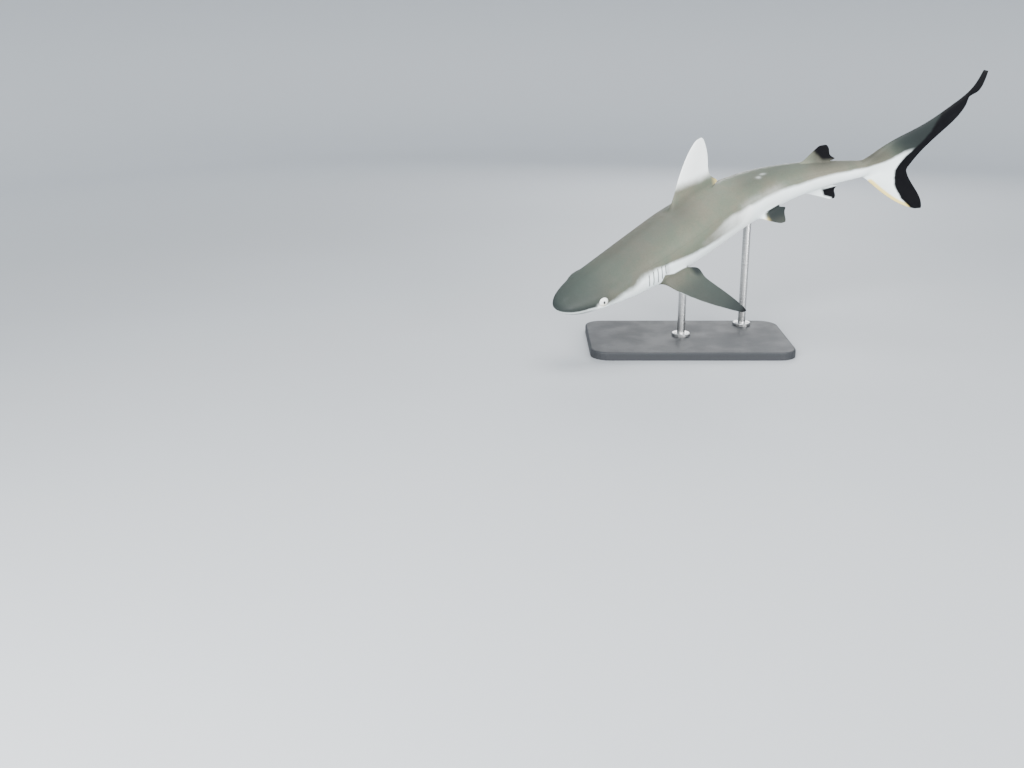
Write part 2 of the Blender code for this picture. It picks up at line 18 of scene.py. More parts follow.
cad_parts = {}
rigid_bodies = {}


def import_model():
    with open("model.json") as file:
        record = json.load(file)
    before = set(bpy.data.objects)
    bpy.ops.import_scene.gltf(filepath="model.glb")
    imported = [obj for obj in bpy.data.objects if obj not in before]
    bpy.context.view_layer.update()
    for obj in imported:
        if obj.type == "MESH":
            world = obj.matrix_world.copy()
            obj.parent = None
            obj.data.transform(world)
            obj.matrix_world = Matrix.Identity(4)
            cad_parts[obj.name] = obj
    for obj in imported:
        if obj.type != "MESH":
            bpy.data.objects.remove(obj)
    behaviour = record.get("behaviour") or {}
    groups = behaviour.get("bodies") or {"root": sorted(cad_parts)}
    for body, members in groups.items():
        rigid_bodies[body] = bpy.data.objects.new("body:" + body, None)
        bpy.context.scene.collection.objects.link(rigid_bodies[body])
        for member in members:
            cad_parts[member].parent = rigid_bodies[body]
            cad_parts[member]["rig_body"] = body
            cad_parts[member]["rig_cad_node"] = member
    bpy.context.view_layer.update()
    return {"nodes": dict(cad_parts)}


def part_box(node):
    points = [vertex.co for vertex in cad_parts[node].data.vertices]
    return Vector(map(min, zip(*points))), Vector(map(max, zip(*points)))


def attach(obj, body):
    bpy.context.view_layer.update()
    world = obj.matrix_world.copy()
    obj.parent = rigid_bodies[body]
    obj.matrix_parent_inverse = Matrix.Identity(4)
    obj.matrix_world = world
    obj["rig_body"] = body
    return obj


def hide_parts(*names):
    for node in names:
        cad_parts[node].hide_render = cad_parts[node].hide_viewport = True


bpy.ops.object.select_all(action="SELECT")
bpy.ops.object.delete()
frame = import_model()

# %% [markdown]
# ## The camera
#
# A swimming shark is often seen from a little above, as it passes. A longer lens could
# fill the picture with it, but here the animal keeps to the upper right and the room
# around it shows, so the lens is moderate and the camera looks down by 18 degrees.

# %% Camera
CAMERA_AT = (-0.4941, -3.2664, 0.9400)
LOOKS_DOWN = radians(18)
LENS, SENSOR = 42.1875, 36.0  # millimetres

bpy.ops.object.select_all(action="DESELECT")
bpy.ops.object.camera_add(location=CAMERA_AT, rotation=(pi / 2 - LOOKS_DOWN, 0, 0))
camera = bpy.context.object
camera.name = "camera"
camera.data.lens = LENS
camera.data.sensor_width = SENSOR
bpy.context.scene.camera = camera
print("camera height:", camera.location.z)

# %% [markdown]
# ## The spine
#
# The solid model was made as a straight animal and then bent along its spine. Markings
# and gill slits are far easier to place on a straight animal. So the spine is laid out
# again here, and each point of the posed skin is told where it would be on the straight
# one: percent of the length along, to the left, and up towards the back.

# %% Spine of the posed animal
PERCENT = 0.014  # metres in one percent of the animal's length
SNOUT_AT = Vector((-0.3820, -0.2260, 0.1570))
YAW, PITCH, ROLL = 27.76, 19.06, 18.3  # degrees, at the snout
TURNS = (
    (0, -4, 2, -3),
    (15, -53, 1, -33),
    (30, -3, -6, -29),
    (45, 117, -9, -6),
    (60, 189, -3, 4),
    (75, 44, 5, 1),
    (88, -55, 8, -13),
    (100, -56, 4, -10),
)  # along, then degrees of turn per body length: side, rise, twist
SETTLE_ROUNDS = 14  # guesses at where a point belongs along the spine
SETTLE_STEP = 0.8  # share of what is left that each guess moves


def spine():
    """Place, tail-ward, left and back-ward directions at each percent along."""
    turns = np.array(TURNS, float)
    yaw, pitch = radians(YAW), radians(PITCH)
    tailward = Vector((cos(pitch) * cos(yaw), cos(pitch) * sin(yaw), sin(pitch)))
    level_up = Vector((-sin(pitch) * cos(yaw), -sin(pitch) * sin(yaw), cos(pitch)))
    back = Quaternion(tailward, radians(ROLL)) @ level_up
    left = tailward.cross(back)
    place = SNOUT_AT.copy()
    rows = [(place[:], tailward[:], left[:], back[:])]
    for along in range(100):
        side, rise, twist = (np.interp(along, turns[:, 0], turns[:, k]) for k in (1, 2, 3))
        turn = tailward.cross(left) * side + tailward.cross(back) * rise
        turn += tailward * twist
        spin = Quaternion(turn.normalized(), radians(turn.length) / 100)
        ahead = spin @ tailward
        place += (tailward + ahead) / 2 * PERCENT
        tailward, left, back = ahead, spin @ left, spin @ back
        rows.append((place[:], tailward[:], left[:], back[:]))
    return np.array(rows)


SPINE = spine()


def frames_at(along):
    """The spine's four vectors at fractional places along, one row for each."""
    step = np.minimum(along.astype(int), 99)
    share = (along - step)[:, None, None]
    return SPINE[step] * (1 - share) + SPINE[step + 1] * share


def straightened(points, hold=100.0):
    """Where posed points lie on the straight animal. Behind hold the spine is straight."""
    reach = SPINE[: int(hold) + 1, 0]
    gaps = np.linalg.norm(points[:, None] - reach[None], axis=2)
    along = np.argmin(gaps, axis=1).astype(float)
    for _ in range(SETTLE_ROUNDS):
        place, tailward, left, back = frames_at(along).transpose(1, 0, 2)
        ahead = np.sum((points - place) * tailward, axis=1) / PERCENT
        along = np.clip(along + SETTLE_STEP * ahead, 0, hold)
    place, tailward, left, back = frames_at(along).transpose(1, 0, 2)
    away = (points - place) / PERCENT
    beyond = np.sum(away * tailward, axis=1)
    side, up = np.sum(away * left, axis=1), np.sum(away * back, axis=1)
    return np.stack([along + beyond, side, up], axis=1)


print("tail tip of the spine:", np.round(SPINE[-1, 0], 3))

# %% [markdown]
# ## One skin over all the solids
#
# A shark's skin is one tight sheet, with no line where the trunk meets a fin. The solids
# are parted there. They could be hidden under a newly drawn skin, but a copy of their
# own faces keeps every size. So they are copied, the hidden walls between neighbours are
# deleted, and the open rims are merged.

# %% Copy the solids of flesh
flesh = [name for name in sorted(frame["nodes"]) if not name.startswith(("stand_", "eye_"))]
HOLDS = {
    "first_dorsal_fin": 39.8,
    "second_dorsal_fin": 66.6,
    "anal_fin": 66.6,
    "pectoral_fin_left": 26.5,
    "pectoral_fin_right": 26.5,
    "pelvic_fin_left": 54.5,
    "pelvic_fin_right": 54.5,
}  # where each fin stops bending with the spine
WELD = 0.00002  # corners closer than this are one point


def pick(*objects):
    """Selects only these objects, and makes the first one active."""
    bpy.ops.object.select_all(action="DESELECT")
    for obj in objects:
        obj.select_set(True)
    bpy.context.view_layer.objects.active = objects[0]


def edit(mode, action="DESELECT"):
    """Enters edit mode in vertex, edge or face mode, with nothing or all selected."""
    bpy.ops.object.mode_set(mode="EDIT")
    bpy.ops.mesh.select_mode(type=mode)
    bpy.ops.mesh.select_all(action=action)


def leave():
    bpy.ops.object.mode_set(mode="OBJECT")


def edit_faces(obj, chosen):
    """Enters edit mode on one object, with the faces selected that chosen is true for."""
    pick(obj)
    edit("FACE")
    leave()
    obj.data.polygons.foreach_set("select", chosen)
    bpy.ops.object.mode_set(mode="EDIT")


pick(*[frame["nodes"][name] for name in flesh])
bpy.ops.object.duplicate()
copies = list(bpy.context.selected_objects)
bpy.ops.object.parent_clear(type="CLEAR_KEEP_TRANSFORM")
for copy in copies:
    piece = flesh.index(copy["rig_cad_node"])
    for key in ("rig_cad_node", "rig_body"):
        del copy[key]
    copy.data.materials.clear()
    number = copy.data.attributes.new("piece", "INT", "FACE")
    number.data.foreach_set("value", [piece] * len(copy.data.polygons))
edit("VERT", "SELECT")
bpy.ops.mesh.remove_doubles(threshold=WELD)
leave()
print("copied solids:", len(copies))

# %% Find and delete the hidden walls
GAP = 0.0003  # the solids stand this far apart
SAG = 0.03  # a large wall is folded differently from its neighbour by this share

corners, triangles, owners = [], [], []
for number, copy in enumerate(copies):
    first = len(corners)
    corners += [vert.co.copy() for vert in copy.data.vertices]
    triangles += [[first + k for k in face.vertices] for face in copy.data.polygons]
    owners += [number] * len(copy.data.polygons)
all_faces = BVHTree.FromPolygons(corners, triangles)


def is_hidden(face, number):
    """Whether another solid lies right against this face."""
    gap = max(1.5 * GAP, SAG * face.area**0.5)
    near = all_faces.find_nearest_range(face.center, gap)
    return any(owners[hit[2]] != number for hit in near)


hidden = 0
for number, copy in enumerate(copies):
    walls = [is_hidden(face, number) for face in copy.data.polygons]
    hidden += sum(walls)
    edit_faces(copy, walls)
    bpy.ops.mesh.delete(type="FACE")
    leave()
print("hidden faces deleted:", hidden)

# %% Join the copies and close the seams
pick(*copies)
bpy.ops.object.join()
skin = bpy.context.object
skin.name = "shark_skin"
edit("VERT")
bpy.ops.mesh.select_non_manifold()
bpy.ops.mesh.remove_doubles(threshold=3 * GAP)
bpy.ops.mesh.select_all(action="SELECT")
bpy.ops.mesh.fill_holes(sides=4)  # one small hole is left, in the fork of the tail
bpy.ops.mesh.normals_make_consistent(inside=False)
leave()


def piece_numbers(mesh):
    values = np.zeros(len(mesh.polygons), np.int32)
    mesh.attributes["piece"].data.foreach_get("value", values)
    return values


def edge_pieces(mesh):
    """For each edge, the set of pieces that its faces belong to."""
    numbers = piece_numbers(mesh)
    found = [set() for _ in mesh.edges]
    loops = mesh.loops
    for face in mesh.polygons:
        for k in face.loop_indices:
            found[loops[k].edge_index].add(int(numbers[face.index]))
    return found


for edge, pieces in zip(skin.data.edges, edge_pieces(skin.data)):
    edge.use_seam = len(pieces) > 1
edit("FACE", "SELECT")
bpy.ops.mesh.tris_convert_to_quads(
    face_threshold=pi, shape_threshold=pi, seam=True, topology_influence=2.0
)
leave()
sides = [len(face.vertices) for face in skin.data.polygons]
print("skin faces:", len(sides), "of them triangles:", sides.count(3))

# %% [markdown]
# ## Smoothing
#
# The merged skin is still the coarse mesh that the solids were built from, and it needs
# smoothing. Subdivision alone pulls a surface in, most at thin fin tips and in the notch
# behind a fin. So the coarse points are first pushed out by as much as each one is about
# to lose. Three rounds of that bring the smooth skin back onto the solids' own points.

# %% Coordinates of a mesh
def coordinates(mesh):
    values = np.zeros(len(mesh.vertices) * 3)
    mesh.vertices.foreach_get("co", values)
    return values.reshape(-1, 3)


def normals_of(mesh):
    values = np.zeros(len(mesh.vertices) * 3)
    mesh.vertex_normals.foreach_get("vector", values)
    return values.reshape(-1, 3)


def place_vertices(mesh, points):
    mesh.vertices.foreach_set("co", points.ravel())
    mesh.update()


# %% Smooth the skin
PUSH_ROUNDS = 3
PUSH = 0.85  # share of what is lost that each round gives back

wanted = coordinates(skin.data)
pick(skin)
bpy.ops.object.modifier_add(type="SUBSURF")
smoothing = skin.modifiers[0]
smoothing.levels = smoothing.render_levels = 1
for _ in range(PUSH_ROUNDS):
    bpy.context.view_layer.update()
    smooth = skin.evaluated_get(bpy.context.evaluated_depsgraph_get()).data
    lost = wanted - coordinates(smooth)[: len(wanted)]
    place_vertices(skin.data, coordinates(skin.data) + PUSH * lost)
    print("pulled in by up to", round(1000 * float(np.linalg.norm(lost, axis=1).max()), 2), "mm")
smoothing.levels = smoothing.render_levels = 2
bpy.ops.object.modifier_apply(modifier=smoothing.name)
bpy.ops.object.shade_smooth()
print("smooth skin faces:", len(skin.data.polygons))

# %% [markdown]
# ## Where each point is
#
# From here on, shapes and markings are laid out on the straight animal. A fin doesn't
# bend behind its root, so its points are straightened from there.

# %% Straight coordinates of the skin
def vertex_flags(mesh, names):
    """True for each vertex that touches a face of one of these pieces."""
    corner_vertex = np.zeros(len(mesh.loops), np.int32)
    mesh.loops.foreach_get("vertex_index", corner_vertex)
    sizes = np.zeros(len(mesh.polygons), np.int32)
    mesh.polygons.foreach_get("loop_total", sizes)
    wanted = [flesh.index(name) for name in names]
    chosen = np.repeat(np.isin(piece_numbers(mesh), wanted), sizes)
    flags = np.zeros(len(mesh.vertices), bool)
    flags[corner_vertex[chosen]] = True
    return flags


def straight_skin():
    """Straight coordinates of every vertex of the skin."""
    points = coordinates(skin.data)
    straight = straightened(points)
    for name, hold in HOLDS.items():
        flags = vertex_flags(skin.data, [name])
        straight[flags] = straightened(points[flags], hold)
    return straight


straight = straight_skin()
print("straight animal:", np.round(straight.min(axis=0), 1), np.round(straight.max(axis=0), 1))

# %% [markdown]
# ## Finer faces where detail goes
#
# Gill slits, nostrils and lips are a few millimetres wide, which is the size of one face
# of the skin. Making all of it finer would waste faces, so only those places are cut
# smaller. The smoothness setting keeps the new points on the rounded surface.

# %% The line of the mouth
GILL_SLITS = (
    (17.70, 1.25, -2.00),
    (18.75, 1.40, -2.30),
    (19.80, 1.40, -2.35),
    (20.75, 1.35, -1.95),
    (21.65, 1.10, -1.25),
)  # along, upper end, lower end
MOUTH_CORNER = 10.7
FURROW = 0.55  # length of the fold behind each corner of the mouth
NOSTRIL = (3.95, 2.75)  # along, out to either side
PIT = 73.6  # the notch on the back, ahead of the tail fin


def border_points(first, second, before):
    """Straight coordinates on the border of two pieces, from one side to the other."""
    pair = {flesh.index(first), flesh.index(second)}
    ends = set()
    for edge, pieces in zip(skin.data.edges, edge_pieces(skin.data)):
        if pieces == pair:
            ends.update(edge.vertices)
    found = straight[sorted(ends)]
    found = found[found[:, 0] < before]
    return found[np.argsort(found[:, 1])]


mouth_line = border_points("head", "lower_jaw", MOUTH_CORNER)
furrows = []
for corner, inner in ((mouth_line[0], mouth_line[4]), (mouth_line[-1], mouth_line[-5])):
    away = (corner - inner) / np.linalg.norm(corner - inner)
    furrows.append(corner + away * FURROW)
mouth_line = np.vstack([furrows[0], mouth_line, furrows[1]])
half_width = np.abs(mouth_line[:, 1]).max()
print("mouth: front at", round(mouth_line[:, 0].min(), 2), "half width", round(half_width, 2))


def from_line(points, line):
    """Distance of points from a line of points, and the nearest place on it, 0 to 1."""
    start, step = line[:-1], np.diff(line, axis=0)
    away = points[:, None] - start[None]
    share = np.clip(np.sum(away * step, axis=2) / np.sum(step * step, axis=1), 0, 1)
    gaps = np.linalg.norm(away - share[..., None] * step, axis=2)
    nearest = np.argmin(gaps, axis=1)
    rows = np.arange(len(points))
    return gaps[rows, nearest], (nearest + share[rows, nearest]) / len(step)


# %% Cut the faces there
def face_centres(mesh):
    values = np.zeros(len(mesh.polygons) * 3)
    mesh.polygons.foreach_get("center", values)
    return values.reshape(-1, 3)


def between(value, low, high, spare=0.0):
    return (value > low - spare) & (value < high + spare)


def detailed(at, spare):
    """True for places on the straight animal near a detail."""
    along, out, up = at[:, 0], np.abs(at[:, 1]), at[:, 2]
    gills = between(along, GILL_SLITS[0][0] - 0.55, GILL_SLITS[-1][0] + 0.3, spare)
    gills &= between(up, -2.6, 1.6, spare) & (out > 4.0)
    nostrils = np.hypot(along - NOSTRIL[0], out - NOSTRIL[1]) < 0.95 + spare
    nostrils &= up < 0.2
    pit = (np.abs(along - PIT) < 0.7 + spare) & (out < 0.7 + spare) & (up > 0.5)
    mouth = np.zeros(len(at), bool)
    near = between(along, 5, 13) & (up < 0)
    mouth[near] = from_line(at[near], mouth_line)[0] < 0.38 + spare
    return gills | nostrils | pit | mouth


BODY_PIECES = ("head", "lower_jaw", "gill_region", "tail", "caudal_fin_upper_lobe")
for spare in (0.35, 0.0):  # once with room to spare, and then once more inside that
    at = straightened(face_centres(skin.data))
    body = np.isin(piece_numbers(skin.data), [flesh.index(name) for name in BODY_PIECES])
    chosen = detailed(at, spare) & body
    edit_faces(skin, chosen)
    bpy.ops.mesh.subdivide(number_cuts=1, smoothness=1.0)
    leave()
    print("cut", int(chosen.sum()), "faces; skin now has", len(skin.data.polygons))

# %% [markdown]
# ## Folds of the face and the gills
#
# The mouth is a broad crescent under the head, with the lower jaw lying a little inside
# the lip and a short furrow behind each corner. Each nostril is a slanting slit with a
# small flap. The five gill slits are flaps of skin that overlap rearward like shingles.
# A sculptor would press these in with a tool; here each point of the fine skin is moved
# along its normal by a depth worked out from its place.

# %% Depth of every fold
MM = 0.1 / 1.4  # one millimetre, in percent of the length
SLIT_DEEP, GILL_FLAP_HIGH = 3.2, 1.3  # millimetres
LIP_DEEP, LIP_HIGH, JAW_INSET = 3.4, 0.8, 1.3


def bump(distance, width):
    """A soft ridge, 1 on its line and fading out over about two widths."""
    return np.exp(-((distance / width) ** 2))


def ramp(value, low, high):
    """0 below low, 1 above high, and smooth between."""
    share = np.clip((value - low) / (high - low), 0, 1)
    return share * share * (3 - 2 * share)


straight = straight_skin()
along, side, up = straight.T
out = np.abs(side)
raised = np.zeros(len(straight))  # millimetres out of the skin
# Painted shade inside the gill slits, lips, nostrils and the notch on the back.
crease = np.zeros(len(straight))  # 1 where the skin turns in and light hardly reaches

for at, top, bottom in GILL_SLITS:
    middle, half = (top + bottom) / 2, (top - bottom) / 2
    bowed = at - 0.16 * (1 - ((up - middle) / half) ** 2)
    ahead = along - bowed
    window = ramp(half - np.abs(up - middle), -0.05, 0.4) * (out > 3.0)
    groove = bump(ahead - 0.02, 0.9 * MM) * window
    flap = ramp(ahead, -0.72, -0.06) * (ahead < 0) + ramp(-ahead, -0.12, 0) * (ahead >= 0)
    raised += GILL_FLAP_HIGH * flap * window - SLIT_DEEP * groove
    crease = np.maximum(crease, bump(ahead - 0.02, 2.0 * MM) * window)

near = between(along, 4.5, 13.5) & (up < 0.3)
distance, share = from_line(straight[near], mouth_line)
jaw = vertex_flags(skin.data, ["lower_jaw"])[near]
inward = np.where(jaw, distance, -distance)
ends = ramp(share, 0.0, 0.1) * ramp(1 - share, 0.0, 0.1)
lips = -LIP_DEEP * bump(distance, 1.2 * MM)
lips += LIP_HIGH * bump(inward + 4.5 * MM, 3.0 * MM) * (inward < 0)
lips -= JAW_INSET * ramp(inward, -0.2 * MM, 0.8 * MM) * ramp(12 * MM - inward, 0, 10 * MM)
raised[near] += lips * ends
crease[near] = np.maximum(crease[near], bump(distance, 1.0 * MM) * ends)
print("deepest fold:", round(raised.min(), 2), "mm; highest:", round(raised.max(), 2), "mm")

# %% Nostrils, and the notch ahead of the tail fin
SLANT = radians(42)
NOSTRIL_DEEP, NOSTRIL_FLAP, NOSTRIL_RIM = 3.6, 0.9, 0.5  # millimetres
NOTCH_DEEP = 2.6

across_slit = (along - NOSTRIL[0]) * cos(SLANT) + (out - NOSTRIL[1]) * sin(SLANT)
down_slit = (along - NOSTRIL[0]) * sin(SLANT) - (out - NOSTRIL[1]) * cos(SLANT)
below = up < 0.35
curl = across_slit + 0.10 * np.sin(down_slit * 3.2)
slit = bump(curl, 1.3 * MM) * ramp(0.80 - np.abs(down_slit), 0, 0.3) * below
nose_flap = bump(np.hypot(down_slit + 0.05, (across_slit + 0.10) * 1.2), 0.26) * below
rim = bump(np.abs(curl) - 2.8 * MM, 1.3 * MM) * ramp(0.95 - np.abs(down_slit), 0, 0.3) * below
opening = slit * (1 - 0.8 * nose_flap)
raised += NOSTRIL_FLAP * nose_flap + NOSTRIL_RIM * rim - NOSTRIL_DEEP * opening
crease = np.maximum(crease, opening)

notch = bump(along - PIT - 0.35 * out**2, 1.8 * MM) * ramp(0.62 - out, 0, 0.4) * (up > 0.5)
raised -= NOTCH_DEEP * notch
crease = np.maximum(crease, 0.5 * notch)

points = coordinates(skin.data)
points += normals_of(skin.data) * raised[:, None] / 1000
place_vertices(skin.data, points)
print("creased vertices:", int((crease > 0.5).sum()))

# %% [markdown]
# ## Eyes and lids
#
# A reef shark's eye is large and round, with a silvery iris and a small upright pupil.
# The solids give each eye its place and size as a flattened ball in an open socket. The
# rim of the socket is drawn in over the ball here to make lids, which keeps the skin in
# one piece. Separate ring-shaped lids would show a seam.

# %% The direction of each eye
def eye_axes(name):
    """Middle of an eye's solid, and its forward, upward and outward directions."""
    ball = np.unique(np.round(coordinates(frame["nodes"][name].data), 6), axis=0)
    middle = ball.mean(axis=0)
    outward = np.linalg.eigh((ball - middle).T @ (ball - middle))[1][:, 0]
    _, tailward, left, back = frames_at(straightened(middle[None])[:, 0])[0]
    if name == "eye_right":
        left = -left
    outward *= np.sign(outward @ left)
    forward = -tailward + (tailward @ outward) * outward
    forward /= np.linalg.norm(forward)
    upward = back - (back @ outward) * outward - (back @ forward) * forward
    return middle, np.stack([forward, upward / np.linalg.norm(upward), outward], axis=1)


EYE_RADIUS = 0.97  # percent of the length, as all of these are
EYE_DEPTH = 0.52
SOCKET_RIM = 1.16
LID_EDGE = 0.94
LID_LIFT = 0.22
LID_REACH = 2.3  # the skin moves towards the eye within this distance
LID_THICK = 1.9  # and within this height of the eye's middle
LID_FOLD, FOLD_AT, FOLD_WIDTH = 0.05, 1.27, 0.08  # the fold around the lids
LID_INSIDE = (
    (0.80, 0.82, -0.60),
    (0.90, 0.95, -0.50),
    (0.96, 1.02, -0.38),
    (1.01, 1.03, -0.22),
    (1.04, 1.00, -0.08),
    (1.07, 0.97, 0.04),
    (1.10, 0.935, 0.12),
    (1.12, 0.922, 0.155),
    (1.14, 0.924, 0.195),
    (SOCKET_RIM, LID_EDGE, LID_LIFT),
)  # old distance from the eye's axis, new distance, new height

# %% Draw the lids in
points = coordinates(skin.data)
inside = np.array(LID_INSIDE)
for name in ("eye_left", "eye_right"):
    middle, axes = eye_axes(name)
    local = (points - middle) @ axes / PERCENT
    radius = np.hypot(local[:, 0], local[:, 1])
    near = between(radius, 1e-6, LID_REACH) & (np.abs(local[:, 2]) < LID_THICK)
    old = radius[near]
    pull = np.clip((LID_REACH - old) / (LID_REACH - SOCKET_RIM), 0, 1) ** 2
    lid = old - (SOCKET_RIM - LID_EDGE) * pull
    height = local[near, 2] * (1 - pull) + LID_LIFT * pull
    height -= LID_FOLD * bump(lid - FOLD_AT, FOLD_WIDTH)
    cup = old < SOCKET_RIM
    lid[cup] = np.interp(old[cup], inside[:, 0], inside[:, 1])
    height[cup] = np.interp(old[cup], inside[:, 0], inside[:, 2])
    deep = old < inside[0, 0]
    lid[deep] = old[deep] * inside[0, 1] / inside[0, 0]
    height[deep] = local[near, 2][deep]
    local[near, :2] *= (lid / old)[:, None]
    local[near, 2] = height
    points[near] = middle + (local[near] * PERCENT) @ axes.T
    print(name, "lid points moved:", int(near.sum()))
place_vertices(skin.data, points)

# %% Model the eyeballs
PUPIL = 0.30  # share of the eye's radius
IRIS = 0.86
PUPIL_NARROW = 0.72  # its width as a share of its height
PUPIL_DEEP = 0.0004  # metres


def eyeball(name):
    """A flattened ball with a pressed-in pupil, turned to look out of its socket."""
    middle, axes = eye_axes(name)
    radius = EYE_RADIUS * PERCENT
    bpy.ops.object.select_all(action="DESELECT")
    bpy.ops.mesh.primitive_uv_sphere_add(segments=64, ring_count=48, radius=radius)
    ball = bpy.context.object
    ball.name = name + "_ball"
    edit("VERT", "SELECT")
    bpy.ops.transform.resize(value=(1, 1, EYE_DEPTH / EYE_RADIUS))
    leave()
    flat = coordinates(ball.data)
    from_axis = np.hypot(flat[:, 0] / PUPIL_NARROW, flat[:, 1]) / radius
    front = flat[:, 2] > 0
    flat[:, 2] -= front * PUPIL_DEEP * (1 - ramp(from_axis, 0.9 * PUPIL, 1.15 * PUPIL))
    place_vertices(ball.data, flat)
    looks = ball.data.attributes.new("eye_at", "FLOAT_VECTOR", "POINT")
    looks.data.foreach_set("vector", (flat / radius).astype(np.float32).ravel())
    place_vertices(ball.data, middle + flat @ axes.T)
    edit("FACE", "SELECT")
    bpy.ops.mesh.normals_make_consistent(inside=False)
    leave()
    bpy.ops.object.shade_smooth()
    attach(ball, "root")
    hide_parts(name)
    return ball


eyes = [eyeball(name) for name in ("eye_left", "eye_right")]
print("eye faces:", [len(eye.data.polygons) for eye in eyes])

# %% [markdown]
# ## The border between back and belly
#
# The back is grey-brown and the belly white, so the animal is hard to see from above and
# from below. An image could carry the markings, but it would blur close up. Instead each
# point stores how far it is from every border, and the material draws the borders from
# that. This first border runs low on the head and rises to mid flank at the tail.

# %% How far above the belly line each point is
BELLY_LINE = (
    (0, 0.05, 0.2),
    (5, 0.05, 0.25),
    (8, -0.2, 0.35),
    (10, -0.35, 0.9),
    (12, 0.05, 0.9),
    (14, 0.15, 1.0),
    (16, 1.1, 1.0),
    (18, 1.3, 0.9),
    (20, 1.15, 0.5),
    (22, 0.7, 0.4),
    (24, 0.4, 0.45),
    (26, -0.1, 0.45),
    (28, -0.65, 0.5),
    (30, -0.95, 0.5),
    (32, -1.25, 0.5),
    (36, -1.75, 0.6),
    (40, -1.9, 0.7),
    (43.5, -2.0, 0.7),
    (46.5, 0.55, 0.6),
    (50, 0.65, 0.55),
    (54, 0.7, 0.55),
    (60, 0.45, 0.5),
    (66, 0.65, 0.4),
    (72, 0.7, 0.35),
    (76, 0.85, 0.35),
    (78, 1.1, 0.35),
    (80, 1.9, 0.45),
    (82, 2.9, 0.5),
    (84, 3.4, 0.5),
    (90, 5.0, 0.5),
)  # along, height of the border, half the width over which it fades


def from_table(at, rows, column=1):
    """Reads a table at these places, with straight lines between its rows."""
    rows = np.array(rows)
    return np.interp(at, rows[:, 0], rows[:, column])


straight = straight_skin()
along, side, up = straight.T
out = np.abs(side)
border = from_table(along, BELLY_LINE)
grey = (up - border) / from_table(along, BELLY_LINE, 2)
print("grey share of the skin:", round(float((grey > 0).mean()), 2))

# %% [markdown]
# ## Grey on the shoulders, and painted shadow at the hips
#
# The pectoral and pelvic fins are grey above and white below, and the grey runs a little
# way up onto the body at the root of each pectoral fin. Above the rear of each pelvic fin's
# root the body carries a painted shadow. These marks could be painted by hand. A distance
# worked out in code gives both sides the same edge. The fins slope, so each has its own two
# directions: out along the fin, and over its plane.

# %% Grey of the fins at the sides
SIDE_FINS = {
    "pectoral_fin": ((5.0, -3.3), radians(28), 14.2, 0.9),
    "pelvic_fin": ((3.1, -3.2), radians(50), 3.15, 0.25),
}  # root to the side and up, slope, length, how far the body's own border runs onto it
SHOULDER = (
    (20.4, -2.6),
    (20.8, -1.9),
    (21.3, -1.1),
    (22.4, -1.65),
    (23.6, -2.15),
    (25.6, -2.5),
    (27.6, -3.0),
)  # along, and how high the grey of the pectoral fin reaches onto the body
SHOULDER_ENDS = (20.3, 27.8)
FIN_EDGE_FADE = 0.05
PELVIC_GREY = 51.2  # the front of each pelvic fin stays white up to here


def on_fin(*names):
    return vertex_flags(skin.data, names)


def side_fin(name):
    """Which points are on this pair of fins, and how far out and over the fin's plane."""
    (root_out, root_up), droop = SIDE_FINS[name][:2]
    span = (out - root_out) * cos(droop) - (up - root_up) * sin(droop)
    over = (out - root_out) * sin(droop) + (up - root_up) * cos(droop)
    return on_fin(name + "_left", name + "_right"), span, over


pectoral, pectoral_span, pectoral_over = side_fin("pectoral_fin")
pelvic, pelvic_span, pelvic_over = side_fin("pelvic_fin")
shoulder = np.minimum((from_table(along, SHOULDER) - up) / 0.2, pectoral_over / 0.12)
to_ends = np.minimum(along - SHOULDER_ENDS[0], SHOULDER_ENDS[1] - along)
shoulder = np.minimum(shoulder, to_ends / 0.25)
grey = np.maximum(grey, np.clip(shoulder, -9, 2))

reach = np.zeros(len(straight))  # 0 at a fin's root and 1 at its tip
for name, (*_, length, root) in SIDE_FINS.items():
    flags, span, over = side_fin(name)
    share = ramp(span, 0.0, root) * flags
    grey = grey * (1 - share) + np.clip(over / FIN_EDGE_FADE, -2, 2) * share
    reach = np.where(flags, np.clip(span / length, 0, 1), reach)
grey = np.where(pelvic, np.minimum(grey, (along - PELVIC_GREY) / 0.5), grey)

# A painted shadow on the body above the rear of each pelvic fin's root: grey over the white belly,
# and dark.
hip_shadow = ramp(pelvic_over, -0.1, 0.05) * ramp(0.6 - pelvic_over, 0, 0.4)
hip_shadow *= ramp(pelvic_span, -0.8, -0.4)
hip_shadow *= ramp(along, 51.4, 52.4) * ramp(55.5 - along, 0, 0.7) * ramp(0.6 - pelvic_span, 0, 0.3)
grey = np.maximum(grey, -1.5 + 3.5 * hip_shadow)
print("points on the side fins:", int(pectoral.sum()), int(pelvic.sum()))

# %% [markdown]
# ## The black of the tail
#
# The trailing edge of the tail fin is black from tip to tip, the mark that this shark is
# known by. No simple curve follows the inner border of that band, so it is written down
# as a table by height. The upper lobe gets dusky towards the band, and a painted highlight
# runs as a thin cream line along the lower lobe's leading edge.

# %% The tail fin
TAIL_BLACK = (
    (-9.6, 82.6),
    (-9.1, 82.3),
    (-7.4, 80.95),
    (-5.0, 80.0),
    (-4.0, 79.75),
    (-2.5, 79.8),
    (-1.0, 80.0),
    (0.0, 80.55),
    (1.0, 81.35),
    (2.0, 82.2),
    (3.0, 83.5),
    (4.0, 84.75),
    (5.0, 85.7),
    (6.5, 87.1),
    (8.9, 88.4),
    (11.5, 90.0),
)  # up, and where the black of the tail fin begins at that height
FRONT_EDGES = {
    "first_dorsal_fin": ((30.6, 7.7), (32.0, 9.9), (34.3, 13.0)),
    "anal_fin": ((63.2, -2.9), (65.1, -4.65), (67.1, -5.45)),
    "caudal_fin_lower_lobe": ((75.1, -3.0), (77, -5.2), (78.8, -7.1), (80.7, -8.6), (82.6, -9.6)),
}  # along, up
FAR = 5.0  # well away from a border


